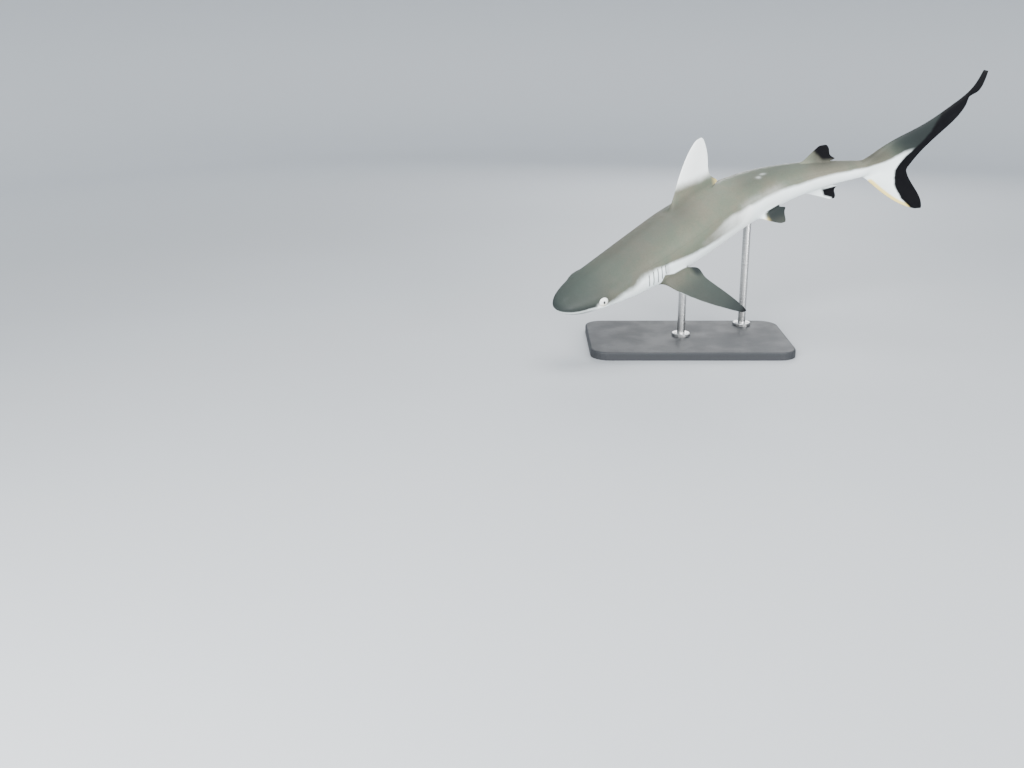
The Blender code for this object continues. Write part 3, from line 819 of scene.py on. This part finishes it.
def behind_front(name):
    """Distance of every point from this fin's leading edge, seen from the side."""
    edge = np.insert(np.array(FRONT_EDGES[name], float), 1, 0, axis=1)
    flat = np.stack([along, np.zeros(len(along)), up], axis=1)
    return from_line(flat, edge)[0]


black = np.full(len(straight), -FAR)
pale = np.full(len(straight), -FAR)
# Darkening towards a dusky grey: the fins' own dusky marks, and painted shade on the body and fins.
dusk = np.zeros(len(straight))
cream = np.zeros(len(straight))

upper, lower = on_fin("caudal_fin_upper_lobe"), on_fin("caudal_fin_lower_lobe")
black[upper | lower] = (along - from_table(up, TAIL_BLACK))[upper | lower]
black[upper] *= np.where(up[upper] > 1, 0.7, 1.0)  # a softer border than lower down
reach[upper] = np.clip((along[upper] - 78) / 18, 0, 1)
reach[lower] = np.clip(-(up[lower] + 1.5) / 8, 0, 1)
climb = along + up
dusk[upper] = (0.95 * ramp(climb, 81, 90.5))[upper]
# A painted highlight: a thin cream line along the leading edge of the lower lobe.
cream[lower] = ramp(0.85 - behind_front("caudal_fin_lower_lobe"), 0, 0.35)[lower]
print("black points of the tail:", int((black > 0).sum()))

# %% [markdown]
# ## Marks of the other fins
#
# The second dorsal fin has a black cap. The anal fin is black behind a white front edge.
# The first dorsal fin is white above its base, with a pale front edge below that and a
# cream rear tip. Each mark is the smaller or the larger of a few plain distances, which
# gives it the same crisp edge at any scale.

# %% The second dorsal and anal fins
second_fin = on_fin("second_dorsal_fin")
cap = np.minimum(up - 3.2, along - 64.5 - 0.7 * (5.6 - up))
black[second_fin] = 0.4 * cap[second_fin]
dusk[second_fin] = 0.5 * ramp(along, 62.8, 65.0)[second_fin]
reach[second_fin] = np.clip((up[second_fin] - 3.1) / 3, 0, 1)

anal_fin = on_fin("anal_fin")
behind = np.minimum(along - 65.6 + 0.22 * (up + 3.3), behind_front("anal_fin") - 0.35)
black[anal_fin] = np.minimum(-up - 2.95, behind)[anal_fin]
reach[anal_fin] = np.clip((-up[anal_fin] - 2.8) / 2.6, 0, 1)
print("black points with the small fins:", int((black > 0).sum()))

# %% The first dorsal fin
FIRST_WHITE = ((31.0, 10.9), (33.0, 10.3), (35.0, 9.9), (36.6, 9.5), (38.8, 9.1), (42, 8.9))
WHITE_FADE = 1.3

first_fin = on_fin("first_dorsal_fin")
pale[first_fin] = ((up - from_table(along, FIRST_WHITE)) / WHITE_FADE)[first_fin]
strip = 0.2 - 1.6 * behind_front("first_dorsal_fin")
strip -= 1.2 * ramp(10.6 - up, 0, 1.6)
pale[first_fin] = np.maximum(pale, np.minimum(strip, -0.15))[first_fin]
rear_tip = ramp(along, 41.2, 43.2) * ramp(7.9 - 0.5 * (along - 42) - up, 0, 0.6)
cream[first_fin] = 0.8 * rear_tip[first_fin]
reach[first_fin] = np.clip((up[first_fin] - 6.3) / 10.5, 0, 1)
print("white points of the fin:", int((pale > 0).sum()))

# %% The pectoral and pelvic fins
dusk[pectoral] = (0.08 + 0.42 * ramp(reach, 0.15, 0.75))[pectoral]
tipward = reach + 0.02 * (along - 28)
dusk[pectoral] += 0.46 * ramp(tipward[pectoral], 0.66, 0.92)
black[pectoral] = (4 * (tipward - 0.99))[pectoral]
# Dark at the inner rear corner of each pectoral fin: partly the fin's own dusky rear tip, partly
# painted shade where it meets the body.
inner_corner_dusk_and_shade = ramp(along, 26.7, 28.3) * ramp(4.0 - pectoral_span, 0, 1.8)
dusk[pectoral] = np.maximum(dusk, 0.97 * inner_corner_dusk_and_shade)[pectoral]

# The pelvic fins darken towards the rear: partly their own dusky grey, partly painted shade on
# their upper side.
towards_tip = 1.04 - 0.16 * ramp(reach, 0.3, 1)
dusk[pelvic] = (0.96 * ramp(along, 50.6, 52.3) * towards_tip)[pelvic]
dusk = np.maximum(dusk, 0.85 * hip_shadow)
cream[pelvic] = (0.6 * ramp(52.6 - along, 0, 1.2) * ramp(reach, 0.2, 0.5))[pelvic]
print("dusky points:", int((dusk > 0.4).sum()))

# %% [markdown]
# ## Darker back with painted shade, and the pale flank
#
# The top of the back is the darkest grey, partly its own colour and partly painted shade.
# Lamps alone could give such shade, but then it would be lost under other light, so it is
# painted into the skin. Between the pectoral and pelvic fins the white of the belly climbs
# the flank as a haze, with no clear edge.

# %% Dark back with painted shade, haze on the flank
# The back's own darker grey and painted shade together, by place along.
TOP_DARK_AND_SHADE = (
    (2, 0.10),
    (8, 0.25),
    (14, 0.55),
    (31, 0.55),
    (37, 0.2),
    (43, 0.2),
    (48, 0.48),
    (58, 0.62),
    (63, 0.6),
    (66, 0.72),
    (76, 0.66),
    (79.5, 0.05),
)  # along, and how dark the top of the back gets
TOP_START = ((14, 2.8), (36, 3.0), (48, 1.9), (60, 1.2), (70, 0.8))  # along, where it starts
TOP_FULL = ((14, 6.0), (36, 6.0), (48, 4.3), (60, 4.2), (66, 3.0), (72, 2.4), (78, 2.9))
HAZE = (
    (28, -1),
    (33.5, -0.74),
    (36, -0.52),
    (38, -0.26),
    (40, -0.02),
    (42, 0.08),
    (44, 0.4),
    (46.5, 0.9),
    (49, -1),
)  # along, and how white the flank is there
HAZE_TOP = ((34, 0.2), (38, 0.5), (41, 0.6), (44, 0), (48, -0.1))  # along, where it thins

on_body = ~(first_fin | second_fin | anal_fin | pectoral | pelvic | lower)
top_start = from_table(along, TOP_START)
top_share = np.clip((up - top_start) / (from_table(along, TOP_FULL) - top_start), 0, 1)
back_dark_and_shade = from_table(along, TOP_DARK_AND_SHADE) * top_share
# Painted shade darkens the white under the tip of the snout, and a band just behind the gills.
under_snout_shade = 0.65 * ramp(8.5 - along, 0, 5) * ramp(border - up, -0.2, 0.6)
behind_gills_shade = 0.3 * bump(along - 22.0, 0.5) * ramp(up, -1.8, -1.0) * ramp(1.6 - up, 0, 0.8)
for shade in (back_dark_and_shade, under_snout_shade, behind_gills_shade):
    dusk = np.where(on_body, np.maximum(dusk, shade), dusk)
dusk[first_fin] = (back_dark_and_shade * ramp(8.4 - up, 0, 1.8))[first_fin]

haze = from_table(along, HAZE) - 2.4 * ramp(up - from_table(along, HAZE_TOP), 0, 2.4)
flank_light = ramp(3.2 - up, 0, 1.8) * ramp(along, 42, 46) * ramp(60 - along, 0, 6)
haze = np.maximum(haze, -1 + 0.44 * flank_light)
pale = np.where(on_body, np.maximum(pale, haze), pale)
print("dusky points now:", int((dusk > 0.4).sum()), "pale points:", int((pale > 0).sum()))

# %% [markdown]
# ## Small marks, cool tones and the lateral line
#
# Old scuffs heal pale. A painted shade darkens the snout in front of the mouth, in a band
# just above the white of the belly. The skin just behind each eye is a little darker, and
# the cheek under the eye is white. The grey turns colder towards the snout, the tips of
# the pectoral fins and the tail. Along each flank runs the lateral line, a faint dark row
# of pores that feel the water move. All of these are soft bumps added to a field, which
# is simpler than a texture for each.

# %% Scuffs, snout and cheeks
SCUFFS = (
    (51.4, 2.1, 0.7, 0.3),
    (52.7, 1.6, 0.9, 0.28),
)  # along, to the left, half length, half width

scuffed = np.zeros(len(straight))
for scuff_along, scuff_side, half_length, half_width in SCUFFS:
    away = np.hypot((along - scuff_along) / half_length, (side - scuff_side) / half_width)
    scuffed = np.maximum(scuffed, bump(away, 1.0) * (up > 0))
pale = np.maximum(pale, -1.0 + 1.05 * scuffed)
# Painted shade along the snout, in a band just above the white of the belly.
snout_shade = bump(up - border - 0.45, 0.4)
dusk = np.maximum(dusk, 0.6 * snout_shade * ramp(8.5 - along, 0, 3))
for name in ("eye_left", "eye_right"):
    middle, axes = eye_axes(name)
    ahead, above, away = ((coordinates(skin.data) - middle) @ axes / PERCENT).T
    near = np.abs(away) < 1.5
    cheek = bump(np.hypot(ahead - 0.9, above + 0.5), 0.6) * near
    pale = np.maximum(pale, -1.0 + 1.9 * cheek)
    behind = bump(np.hypot((ahead + 1.45) / 1.2, above), 0.3) * near
    dusk = np.maximum(dusk, 0.12 * behind)
print("scuffed points:", int((scuffed > 0.5).sum()))

# %% Cooler places, and the lateral line
LATERAL_LINE = ((16, 2.3), (24, 2.2), (36, 2.0), (50, 1.9), (60, 1.6), (70, 1.2), (80, 1.6))
HEAD_COOL = ((0, 0.97), (4, 0.9), (8, 0.8), (12, 0.6), (16, 0.46), (22, 0.2), (28, 0))

cool = from_table(along, HEAD_COOL) * (1 - 0.4 * ramp(2.6 - up, 0, 2.4) * ramp(along, 7, 10))
cool[pectoral] = (0.35 + 0.5 * ramp(pectoral_span, -0.5, 5.0))[pectoral]
tail_end = upper | (on_body & (along > 70))
cool[tail_end] = (0.95 * ramp(climb, 77, 88))[tail_end]
lateral = up - from_table(along, LATERAL_LINE)
lateral[(along < 17) | (along > 80) | (reach > 0)] = FAR
print("cool points:", int((cool > 0.4).sum()))

# %% [markdown]
# ## Fin rays
#
# A shark's fin is stiffened by fine rays that spread from its root and show through the
# thin outer part. They are far too many to model one by one. Each point of a fin stores
# the angle at which it lies about the place that the rays spread from, and the relief
# turns that angle into ridges.

# %% The fan of fin rays
FAN_ROOTS = {
    "first_dorsal_fin": (24, -4),
    "second_dorsal_fin": (60, 0),
    "anal_fin": (60, 0),
    "caudal_fin_lower_lobe": (70, 3),
    "caudal_fin_upper_lobe": (60, -14),
    "pectoral_fin": (15, 1.0),
    "pelvic_fin": (47, -0.9),
}  # along, and up, or out for the fins at the sides
fan = np.zeros(len(straight))
for name, (root_along, root_across) in FAN_ROOTS.items():
    if name in SIDE_FINS:
        flags, across = on_fin(name + "_left", name + "_right"), out
    else:
        flags, across = on_fin(name), up
    angle = np.arctan2(across - root_across, along - root_along)
    fan[flags] = np.degrees(angle[flags])
print("points with rays:", int((fan != 0).sum()))

# %% [markdown]
# ## Keeping the fields with the skin
#
# Each field becomes an attribute of the mesh, one number for each point. A material can
# read an attribute by name, and it travels with the mesh when it is exported.

# %% Store the fields
def store(obj, name, values):
    """Keeps a number, or three, for each point of the mesh."""
    values = np.asarray(values, np.float32)
    kind, key = ("FLOAT", "value") if values.ndim == 1 else ("FLOAT_VECTOR", "vector")
    obj.data.attributes.new(name, kind, "POINT").data.foreach_set(key, values.ravel())


fields = {"straight": straight, "grey": grey, "black": black, "pale": pale, "dusk": dusk}
fields |= {"crease": crease, "reach": reach, "fan": fan, "cream": cream, "cool": cool}
fields |= {"lateral": lateral}
for name, values in fields.items():
    store(skin, name, values)
skin.data.attributes.remove(skin.data.attributes["piece"])
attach(skin, "root")
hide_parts(*flesh)
print("stored:", ", ".join(fields))

# %% [markdown]
# ## Building materials from nodes
#
# A finish is a small network: patterns go in at one end and colour, roughness and bump
# come out at the other. A few helpers keep each network readable.

# %% Helpers for materials
def new_finish(name):
    """An empty node material: its tree and its shader."""
    material = bpy.data.materials.new(name)
    material.use_nodes = True
    tree = material.node_tree
    return material, tree, tree.nodes["Principled BSDF"]


def feed(tree, node, **values):
    """Gives a node's inputs, by name or number, other nodes' outputs or plain values."""
    for key, value in values.items():
        socket = node.inputs[int(key[1:]) if key[0] == "_" else key.replace("_", " ")]
        if isinstance(value, bpy.types.NodeSocket):
            tree.links.new(value, socket)
        else:
            socket.default_value = value


def put(tree, kind, settings=None, **values):
    """Adds a node with these settings, and feeds its inputs."""
    added = tree.nodes.new("ShaderNode" + kind)
    for key, value in (settings or {}).items():
        setattr(added, key, value)
    feed(tree, added, **values)
    return added


def field(tree, name, output="Fac"):
    return put(tree, "Attribute", {"attribute_name": name}).outputs[output]


def noise(tree, scale, detail=3.0, rough=0.55, vector=None):
    """Cloudy numbers from 0 to 1, at this many clouds per metre."""
    vector = vector or put(tree, "TexCoord").outputs["Object"]
    made = put(tree, "TexNoise", Vector=vector, Scale=scale, Detail=detail, Roughness=rough)
    return made.outputs["Fac"]


def step(tree, value, low, high, start=0.0, end=1.0):
    """Turns value from low to high into start to end, smoothly."""
    made = put(tree, "MapRange", {"interpolation_type": "SMOOTHSTEP"}, Value=value)
    feed(tree, made, From_Min=low, From_Max=high, To_Min=start, To_Max=end)
    return made.outputs["Result"]


def maths(tree, operation, first, second=0.0):
    return put(tree, "Math", {"operation": operation}, _0=first, _1=second).outputs[0]


def mix(tree, share, first, second):
    """A colour between two colours."""
    first, second = ((*c, 1.0) if isinstance(c, tuple) else c for c in (first, second))
    made = put(tree, "Mix", {"data_type": "RGBA"}, _0=share, _6=first, _7=second)
    return made.outputs[2]


def relief(tree, height, distance, strength=1.0, onto=None):
    """A bump this many metres high, on top of another bump."""
    made = put(tree, "Bump", Height=height, Distance=distance, Strength=strength)
    if onto:
        feed(tree, made, Normal=onto)
    return made.outputs["Normal"]


print("helpers are ready")

# %% [markdown]
# ## Shark skin
#
# The skin is covered in tooth-like scales too small to see singly. They take the shine
# off, so the back looks like fine suede with a soft silvery highlight. Its grey-brown is
# slightly mottled, pinker in some places and greener in others.

# %% Colours of the skin
BACK_WARM = (0.146, 0.139, 0.104)
BACK_GREEN = (0.116, 0.133, 0.099)
BACK_COLD = (0.025, 0.033, 0.031)
BELLY_WHITE = (0.84, 0.92, 0.92)
BELLY_SHADE = (0.74, 0.79, 0.77)
FIN_WHITE = (0.89, 0.93, 0.91)
# Cream marks of the fins, and the colour of a painted highlight.
CREAM_AND_HIGHLIGHT = (0.85, 0.68, 0.24)
FIN_BLACK = (0.002, 0.002, 0.003)
# Dark grey of dusky marks, grain and the lateral line, also used for painted shade.
DUSKY_AND_SHADE = (0.016, 0.020, 0.020)
# Colour of painted shade in folds, slits and pores.
HOLLOW_SHADE = (0.030, 0.030, 0.028)

skin_finish, tree, shader = new_finish("shark skin")
broad = noise(tree, 9, detail=2)
mottled = noise(tree, 70, detail=4)
patches = maths(tree, "MULTIPLY", broad, 0.7)
patches = maths(tree, "ADD", patches, maths(tree, "MULTIPLY", mottled, 0.3))
back_colour = mix(tree, step(tree, patches, 0.36, 0.64), BACK_GREEN, BACK_WARM)
back_colour = mix(tree, field(tree, "cool"), back_colour, BACK_COLD)
grain = noise(tree, 420, detail=2)
back_colour = mix(tree, step(tree, grain, 0.35, 0.75, 0.0, 0.22), back_colour, DUSKY_AND_SHADE)
line_here = maths(tree, "ABSOLUTE", field(tree, "lateral"))
back_colour = mix(tree, step(tree, line_here, 0.09, 0.02, 0.0, 0.14), back_colour, DUSKY_AND_SHADE)

ragged = maths(tree, "SUBTRACT", noise(tree, 38, detail=5), 0.5)
grey_here = maths(tree, "ADD", field(tree, "grey"), maths(tree, "MULTIPLY", ragged, 1.1))
belly_tint = mix(tree, step(tree, broad, 0.4, 0.7, 0.0, 0.5), BELLY_WHITE, BELLY_SHADE)
colour = mix(tree, step(tree, grey_here, -1.0, 1.0), belly_tint, back_colour)

pale_here = maths(tree, "ADD", field(tree, "pale"), maths(tree, "MULTIPLY", ragged, 0.5))
colour = mix(tree, step(tree, pale_here, -1.0, 1.0), colour, FIN_WHITE)
# Cream of the first dorsal fin's rear tip and the pelvic fins' fronts, and the painted highlight on
# the lower lobe.
colour = mix(tree, field(tree, "cream"), colour, CREAM_AND_HIGHLIGHT)
# Painted shade and the fins' dusky marks darken the colour here.
colour = mix(tree, field(tree, "dusk"), colour, DUSKY_AND_SHADE)
black_here = maths(tree, "ADD", field(tree, "black"), maths(tree, "MULTIPLY", ragged, 0.5))
colour = mix(tree, step(tree, black_here, -0.30, 0.22), colour, FIN_BLACK)
# Painted shade in the folds and slits.
colour = mix(tree, step(tree, field(tree, "crease"), 0.15, 0.85), colour, HOLLOW_SHADE)
print("skin nodes so far:", len(tree.nodes))

# %% [markdown]
# ## The feel of the skin
#
# The relief is worked out apart from the colours: denticles all over, pores of the
# electric sense on the snout, and the stiff rays that show through the thin outer part of
# each fin. All of it is finer than the mesh, so it is bump in the material.

# %% Relief and shine of the skin
fine = noise(tree, 1300, detail=2)
normal = relief(tree, fine, 0.00025, strength=0.35)
wrinkles = noise(tree, 55, detail=3)
normal = relief(tree, wrinkles, 0.0007, strength=0.35, onto=normal)

rays = put(tree, "Math", {"operation": "SINE"}, _0=maths(tree, "MULTIPLY", field(tree, "fan"), 7.0))
ray_height = maths(tree, "MULTIPLY", rays.outputs[0], step(tree, field(tree, "reach"), 0.25, 0.8))
normal = relief(tree, ray_height, 0.00014, strength=0.6, onto=normal)

object_place = put(tree, "TexCoord").outputs["Object"]
pores = put(tree, "TexVoronoi", Vector=object_place, Scale=290.0)
snout = put(tree, "SeparateXYZ", Vector=field(tree, "straight", "Vector")).outputs["X"]
pore_depth = maths(
    tree,
    "MULTIPLY",
    step(tree, pores.outputs["Distance"], 0.20, 0.10),
    step(tree, snout, 9.5, 4.0),
)
normal = relief(tree, maths(tree, "MULTIPLY", pore_depth, -1.0), 0.0003, onto=normal)
# Each pore is darkened a little, as painted shade in its pit.
colour = mix(tree, maths(tree, "MULTIPLY", pore_depth, 0.35), colour, HOLLOW_SHADE)
roughness = step(tree, mottled, 0.3, 0.7, 0.42, 0.56)
feed(tree, shader, Base_Color=colour, Normal=normal, Roughness=roughness)
feed(tree, shader, Specular_IOR_Level=0.10)
skin.data.materials.clear()
skin.data.materials.append(skin_finish)
print("skin nodes:", len(tree.nodes))

# %% [markdown]
# ## Eye finish
#
# The iris is silvery with a warm tinge at its lower edge and fine spokes. The wet front
# of the eye is clear, so a coat over the colour gives it one sharp highlight.

# %% Paint the eyes
SILVER = (0.90, 0.92, 0.88)
SILVER_DARK = (0.66, 0.69, 0.64)
CREAM = (0.70, 0.60, 0.42)
IRIS_RIM = (0.10, 0.10, 0.09)
PUPIL_BLACK = (0.006, 0.005, 0.006)
ACROSS_PUPIL = (1.39, 1.0, 1.0)  # distances across it count for more, so it is narrow

eye_finish, tree, shader = new_finish("shark eye")
eye_at = field(tree, "eye_at", "Vector")
eye_parts = put(tree, "SeparateXYZ", Vector=eye_at).outputs
round_about = put(tree, "CombineXYZ", X=eye_parts["X"], Y=eye_parts["Y"]).outputs[0]
from_pupil = put(tree, "VectorMath", {"operation": "LENGTH"}, _0=round_about).outputs["Value"]
narrow = put(tree, "VectorMath", {"operation": "MULTIPLY"}, _0=round_about, _1=ACROSS_PUPIL)
to_slit = put(tree, "VectorMath", {"operation": "LENGTH"}, _0=narrow.outputs[0]).outputs["Value"]
turn = maths(tree, "ARCTAN2", eye_parts["Y"], eye_parts["X"])
spokes = put(tree, "CombineXYZ", X=maths(tree, "MULTIPLY", turn, 9.0), Y=from_pupil).outputs[0]
fibres = noise(tree, 3.0, detail=4, vector=spokes)
iris = mix(tree, step(tree, fibres, 0.3, 0.7), SILVER, SILVER_DARK)
iris = mix(tree, step(tree, eye_parts["Y"], 0.1, -0.75, 0.0, 0.55), iris, CREAM)
iris = mix(tree, step(tree, from_pupil, IRIS, 1.0, 0.0, 0.8), iris, IRIS_RIM)
iris = mix(tree, step(tree, to_slit, 1.25 * PUPIL, 0.95 * PUPIL), iris, PUPIL_BLACK)
feed(tree, shader, Base_Color=iris, Normal=relief(tree, fibres, 0.0002, strength=0.4))
feed(tree, shader, Roughness=0.35, Coat_Weight=1.0, Coat_Roughness=0.04)
for eye in eyes:
    eye.data.materials.append(eye_finish)
print("painted eyes:", len(eyes))

# %% [markdown]
# ## The stand
#
# A museum mounts such a model on a heavy plate with steel rods. The plate and rods keep
# their solids' exact shape. The plate gets a dark satin powder coat, the rods a turned
# steel, and three screws hold each rod's foot.

# %% Finishes of the stand
COAT_DARK = (0.020, 0.022, 0.025)
COAT_LIGHT = (0.034, 0.036, 0.040)
STEEL = (0.52, 0.52, 0.51)
STEEL_DARK = (0.46, 0.46, 0.46)

plate_finish, tree, shader = new_finish("powder coat")
speckle = noise(tree, 900, detail=2)
coat = mix(tree, step(tree, speckle, 0.4, 0.65), COAT_DARK, COAT_LIGHT)
feed(tree, shader, Base_Color=coat, Normal=relief(tree, speckle, 0.0002, strength=0.5))
feed(tree, shader, Roughness=step(tree, noise(tree, 14), 0.3, 0.7, 0.52, 0.64))
feed(tree, shader, Specular_IOR_Level=0.25)

steel_finish, tree, shader = new_finish("turned steel")
place = put(tree, "TexCoord").outputs["Object"]
stretched = put(tree, "Mapping", Vector=place, Scale=(1.0, 1.0, 60.0)).outputs[0]
lines = noise(tree, 40, detail=4, vector=stretched)
steel = mix(tree, step(tree, lines, 0.35, 0.65), STEEL_DARK, STEEL)
feed(tree, shader, Base_Color=steel, Normal=relief(tree, lines, 0.00005, strength=0.3))
feed(tree, shader, Roughness=step(tree, lines, 0.3, 0.7, 0.24, 0.36), Metallic=1.0)


def refinish(node, finish):
    """Gives a solid that still shows its new material."""
    frame["nodes"][node].data.materials.clear()
    frame["nodes"][node].data.materials.append(finish)


refinish("stand_base", plate_finish)
for name in ("stand_rod_front", "stand_rod_rear"):
    refinish(name, steel_finish)
print("stand finished")

# %% Screws of the rods' feet
SCREW_RING = 0.0185  # metres from the rod's axis
SCREW_RADIUS = 0.0034
SCREW_HIGH = 0.0022
SCREW_SUNK = 0.0002
EDGE_ROUND = 0.0011
SOCKET_RIM_WIDE = 0.0006
SOCKET_DEEP = 0.0014
FOOT_TOP = 0.0083  # height of the rod's foot over the plate


def foot_screws(rod):
    """Three button-head screws with round sockets, on the foot of a rod."""
    low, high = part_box(rod)
    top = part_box("stand_base")[1].z + FOOT_TOP
    made = []
    for n in range(3):
        angle = radians(90 + 120 * n)
        height = top + SCREW_HIGH / 2 - SCREW_SUNK
        at = Vector(((low.x + high.x) / 2, (low.y + high.y) / 2, height))
        at += Vector((cos(angle), sin(angle), 0)) * SCREW_RING
        bpy.ops.object.select_all(action="DESELECT")
        bpy.ops.mesh.primitive_cylinder_add(
            vertices=24, radius=SCREW_RADIUS, depth=SCREW_HIGH, location=at
        )
        screw = bpy.context.object
        bpy.ops.object.transform_apply(location=True, rotation=True, scale=True)
        edit_faces(screw, [face.normal.z > 0.9 for face in screw.data.polygons])
        bpy.ops.mesh.bevel(offset=EDGE_ROUND, segments=3, affect="EDGES")
        leave()
        tops = [face.normal.z > 0.99 and face.area > 1e-6 for face in screw.data.polygons]
        edit_faces(screw, tops)
        bpy.ops.mesh.inset(thickness=SOCKET_RIM_WIDE)
        bpy.ops.mesh.extrude_region_move(TRANSFORM_OT_translate={"value": (0, 0, -SOCKET_DEEP)})
        leave()
        made.append(screw)
    pick(*made)
    bpy.ops.object.join()
    screws = bpy.context.object
    screws.name = rod.replace("rod", "screws")
    bpy.ops.object.shade_smooth_by_angle(angle=radians(35))
    screws.data.materials.append(steel_finish)
    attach(screws, "root")
    return screws


for rod in ("stand_rod_front", "stand_rod_rear"):
    print(foot_screws(rod).name, [round(x, 3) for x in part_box(rod)[0]])

# %% [markdown]
# ## The room
#
# A pale floor that curves up into a wall has no horizon to distract from the animal. A
# flat plane would end in a line. The wall goes all the way round, because the model is
# looked at from every side. The floor is darker by the stand, where the lamps are close,
# and paler further out, so its tone looks even.

# %% Floor and wall
FLOOR_RADIUS = 4.2
COVE = ((4.7, 0.06), (5.2, 0.28), (5.6, 0.7), (5.8, 1.3), (5.9, 4.5))  # radius, height
FLOOR_NEAR = ((0.31, 0.325, 0.34), (0.33, 0.345, 0.36))  # two tones, in faint clouds
FLOOR_FAR = (0.54, 0.56, 0.58)
WALL = (0.37, 0.39, 0.41)

bpy.ops.object.select_all(action="DESELECT")
bpy.ops.mesh.primitive_circle_add(vertices=96, radius=FLOOR_RADIUS, fill_type="NGON")
floor = bpy.context.object
floor.name = "floor"
edit("EDGE")
bpy.ops.mesh.select_non_manifold()
now, level = FLOOR_RADIUS, 0
for radius, height in COVE:
    bpy.ops.mesh.extrude_edges_move()
    bpy.ops.transform.resize(value=(radius / now, radius / now, 1))
    bpy.ops.transform.translate(value=(0, 0, height - level))
    now, level = radius, height
bpy.ops.mesh.select_all(action="SELECT")
bpy.ops.mesh.normals_make_consistent(inside=True)
leave()
bpy.ops.object.shade_smooth_by_angle(angle=radians(40))

floor_finish, tree, shader = new_finish("pale floor")
clouds = noise(tree, 1.6, detail=3)
place = put(tree, "TexCoord").outputs["Object"]
away = put(tree, "VectorMath", {"operation": "LENGTH"}, _0=place).outputs["Value"]
height = put(tree, "SeparateXYZ", Vector=place).outputs["Z"]
paper = mix(tree, clouds, *FLOOR_NEAR)
paper = mix(tree, step(tree, away, 1.8, 4.6), paper, FLOOR_FAR)
paper = mix(tree, step(tree, height, 0.2, 1.6), paper, WALL)
feed(tree, shader, Base_Color=paper, Roughness=0.7)
floor.data.materials.append(floor_finish)
print("floor faces:", len(floor.data.polygons))

# %% [markdown]
# ## Light
#
# Large soft lamps give soft shadows, as daylight in water does. The main one stands by
# the camera's left shoulder, so that the whole flank is evenly lit and even the belly is
# bright. A lamp above shapes the back, one low on the right fills the shade, and a weaker
# one behind edges the fins.

# %% Lamps
AIM = Vector((0.15, 0.0, 0.35))
LAMPS = (
    ("key", (-1.5, -2.9, 1.7), 2.0, 290),
    ("overhead", (0.2, 0.2, 3.2), 2.6, 105),
    ("fill", (1.8, -2.4, 0.6), 1.6, 130),
    ("rim", (0.6, 2.8, 1.8), 1.8, 70),
)  # name, place, size in metres, watts
ROOM_COLOUR = (0.80, 0.87, 0.95, 1)
ROOM_STRENGTH = 1.3

for name, place, size, watts in LAMPS:
    direction = AIM - Vector(place)
    bpy.ops.object.light_add(type="AREA", location=place)
    lamp = bpy.context.object
    lamp.name = name
    lamp.data.shape = "DISK"
    lamp.data.size = size
    lamp.data.energy = watts
    lamp.rotation_euler = direction.to_track_quat("-Z", "Y").to_euler()

world = bpy.data.worlds.new("room light")
bpy.context.scene.world = world
world.use_nodes = True
background = world.node_tree.nodes["Background"]
feed(world.node_tree, background, Color=ROOM_COLOUR, Strength=ROOM_STRENGTH)
print("lamps:", len(LAMPS))
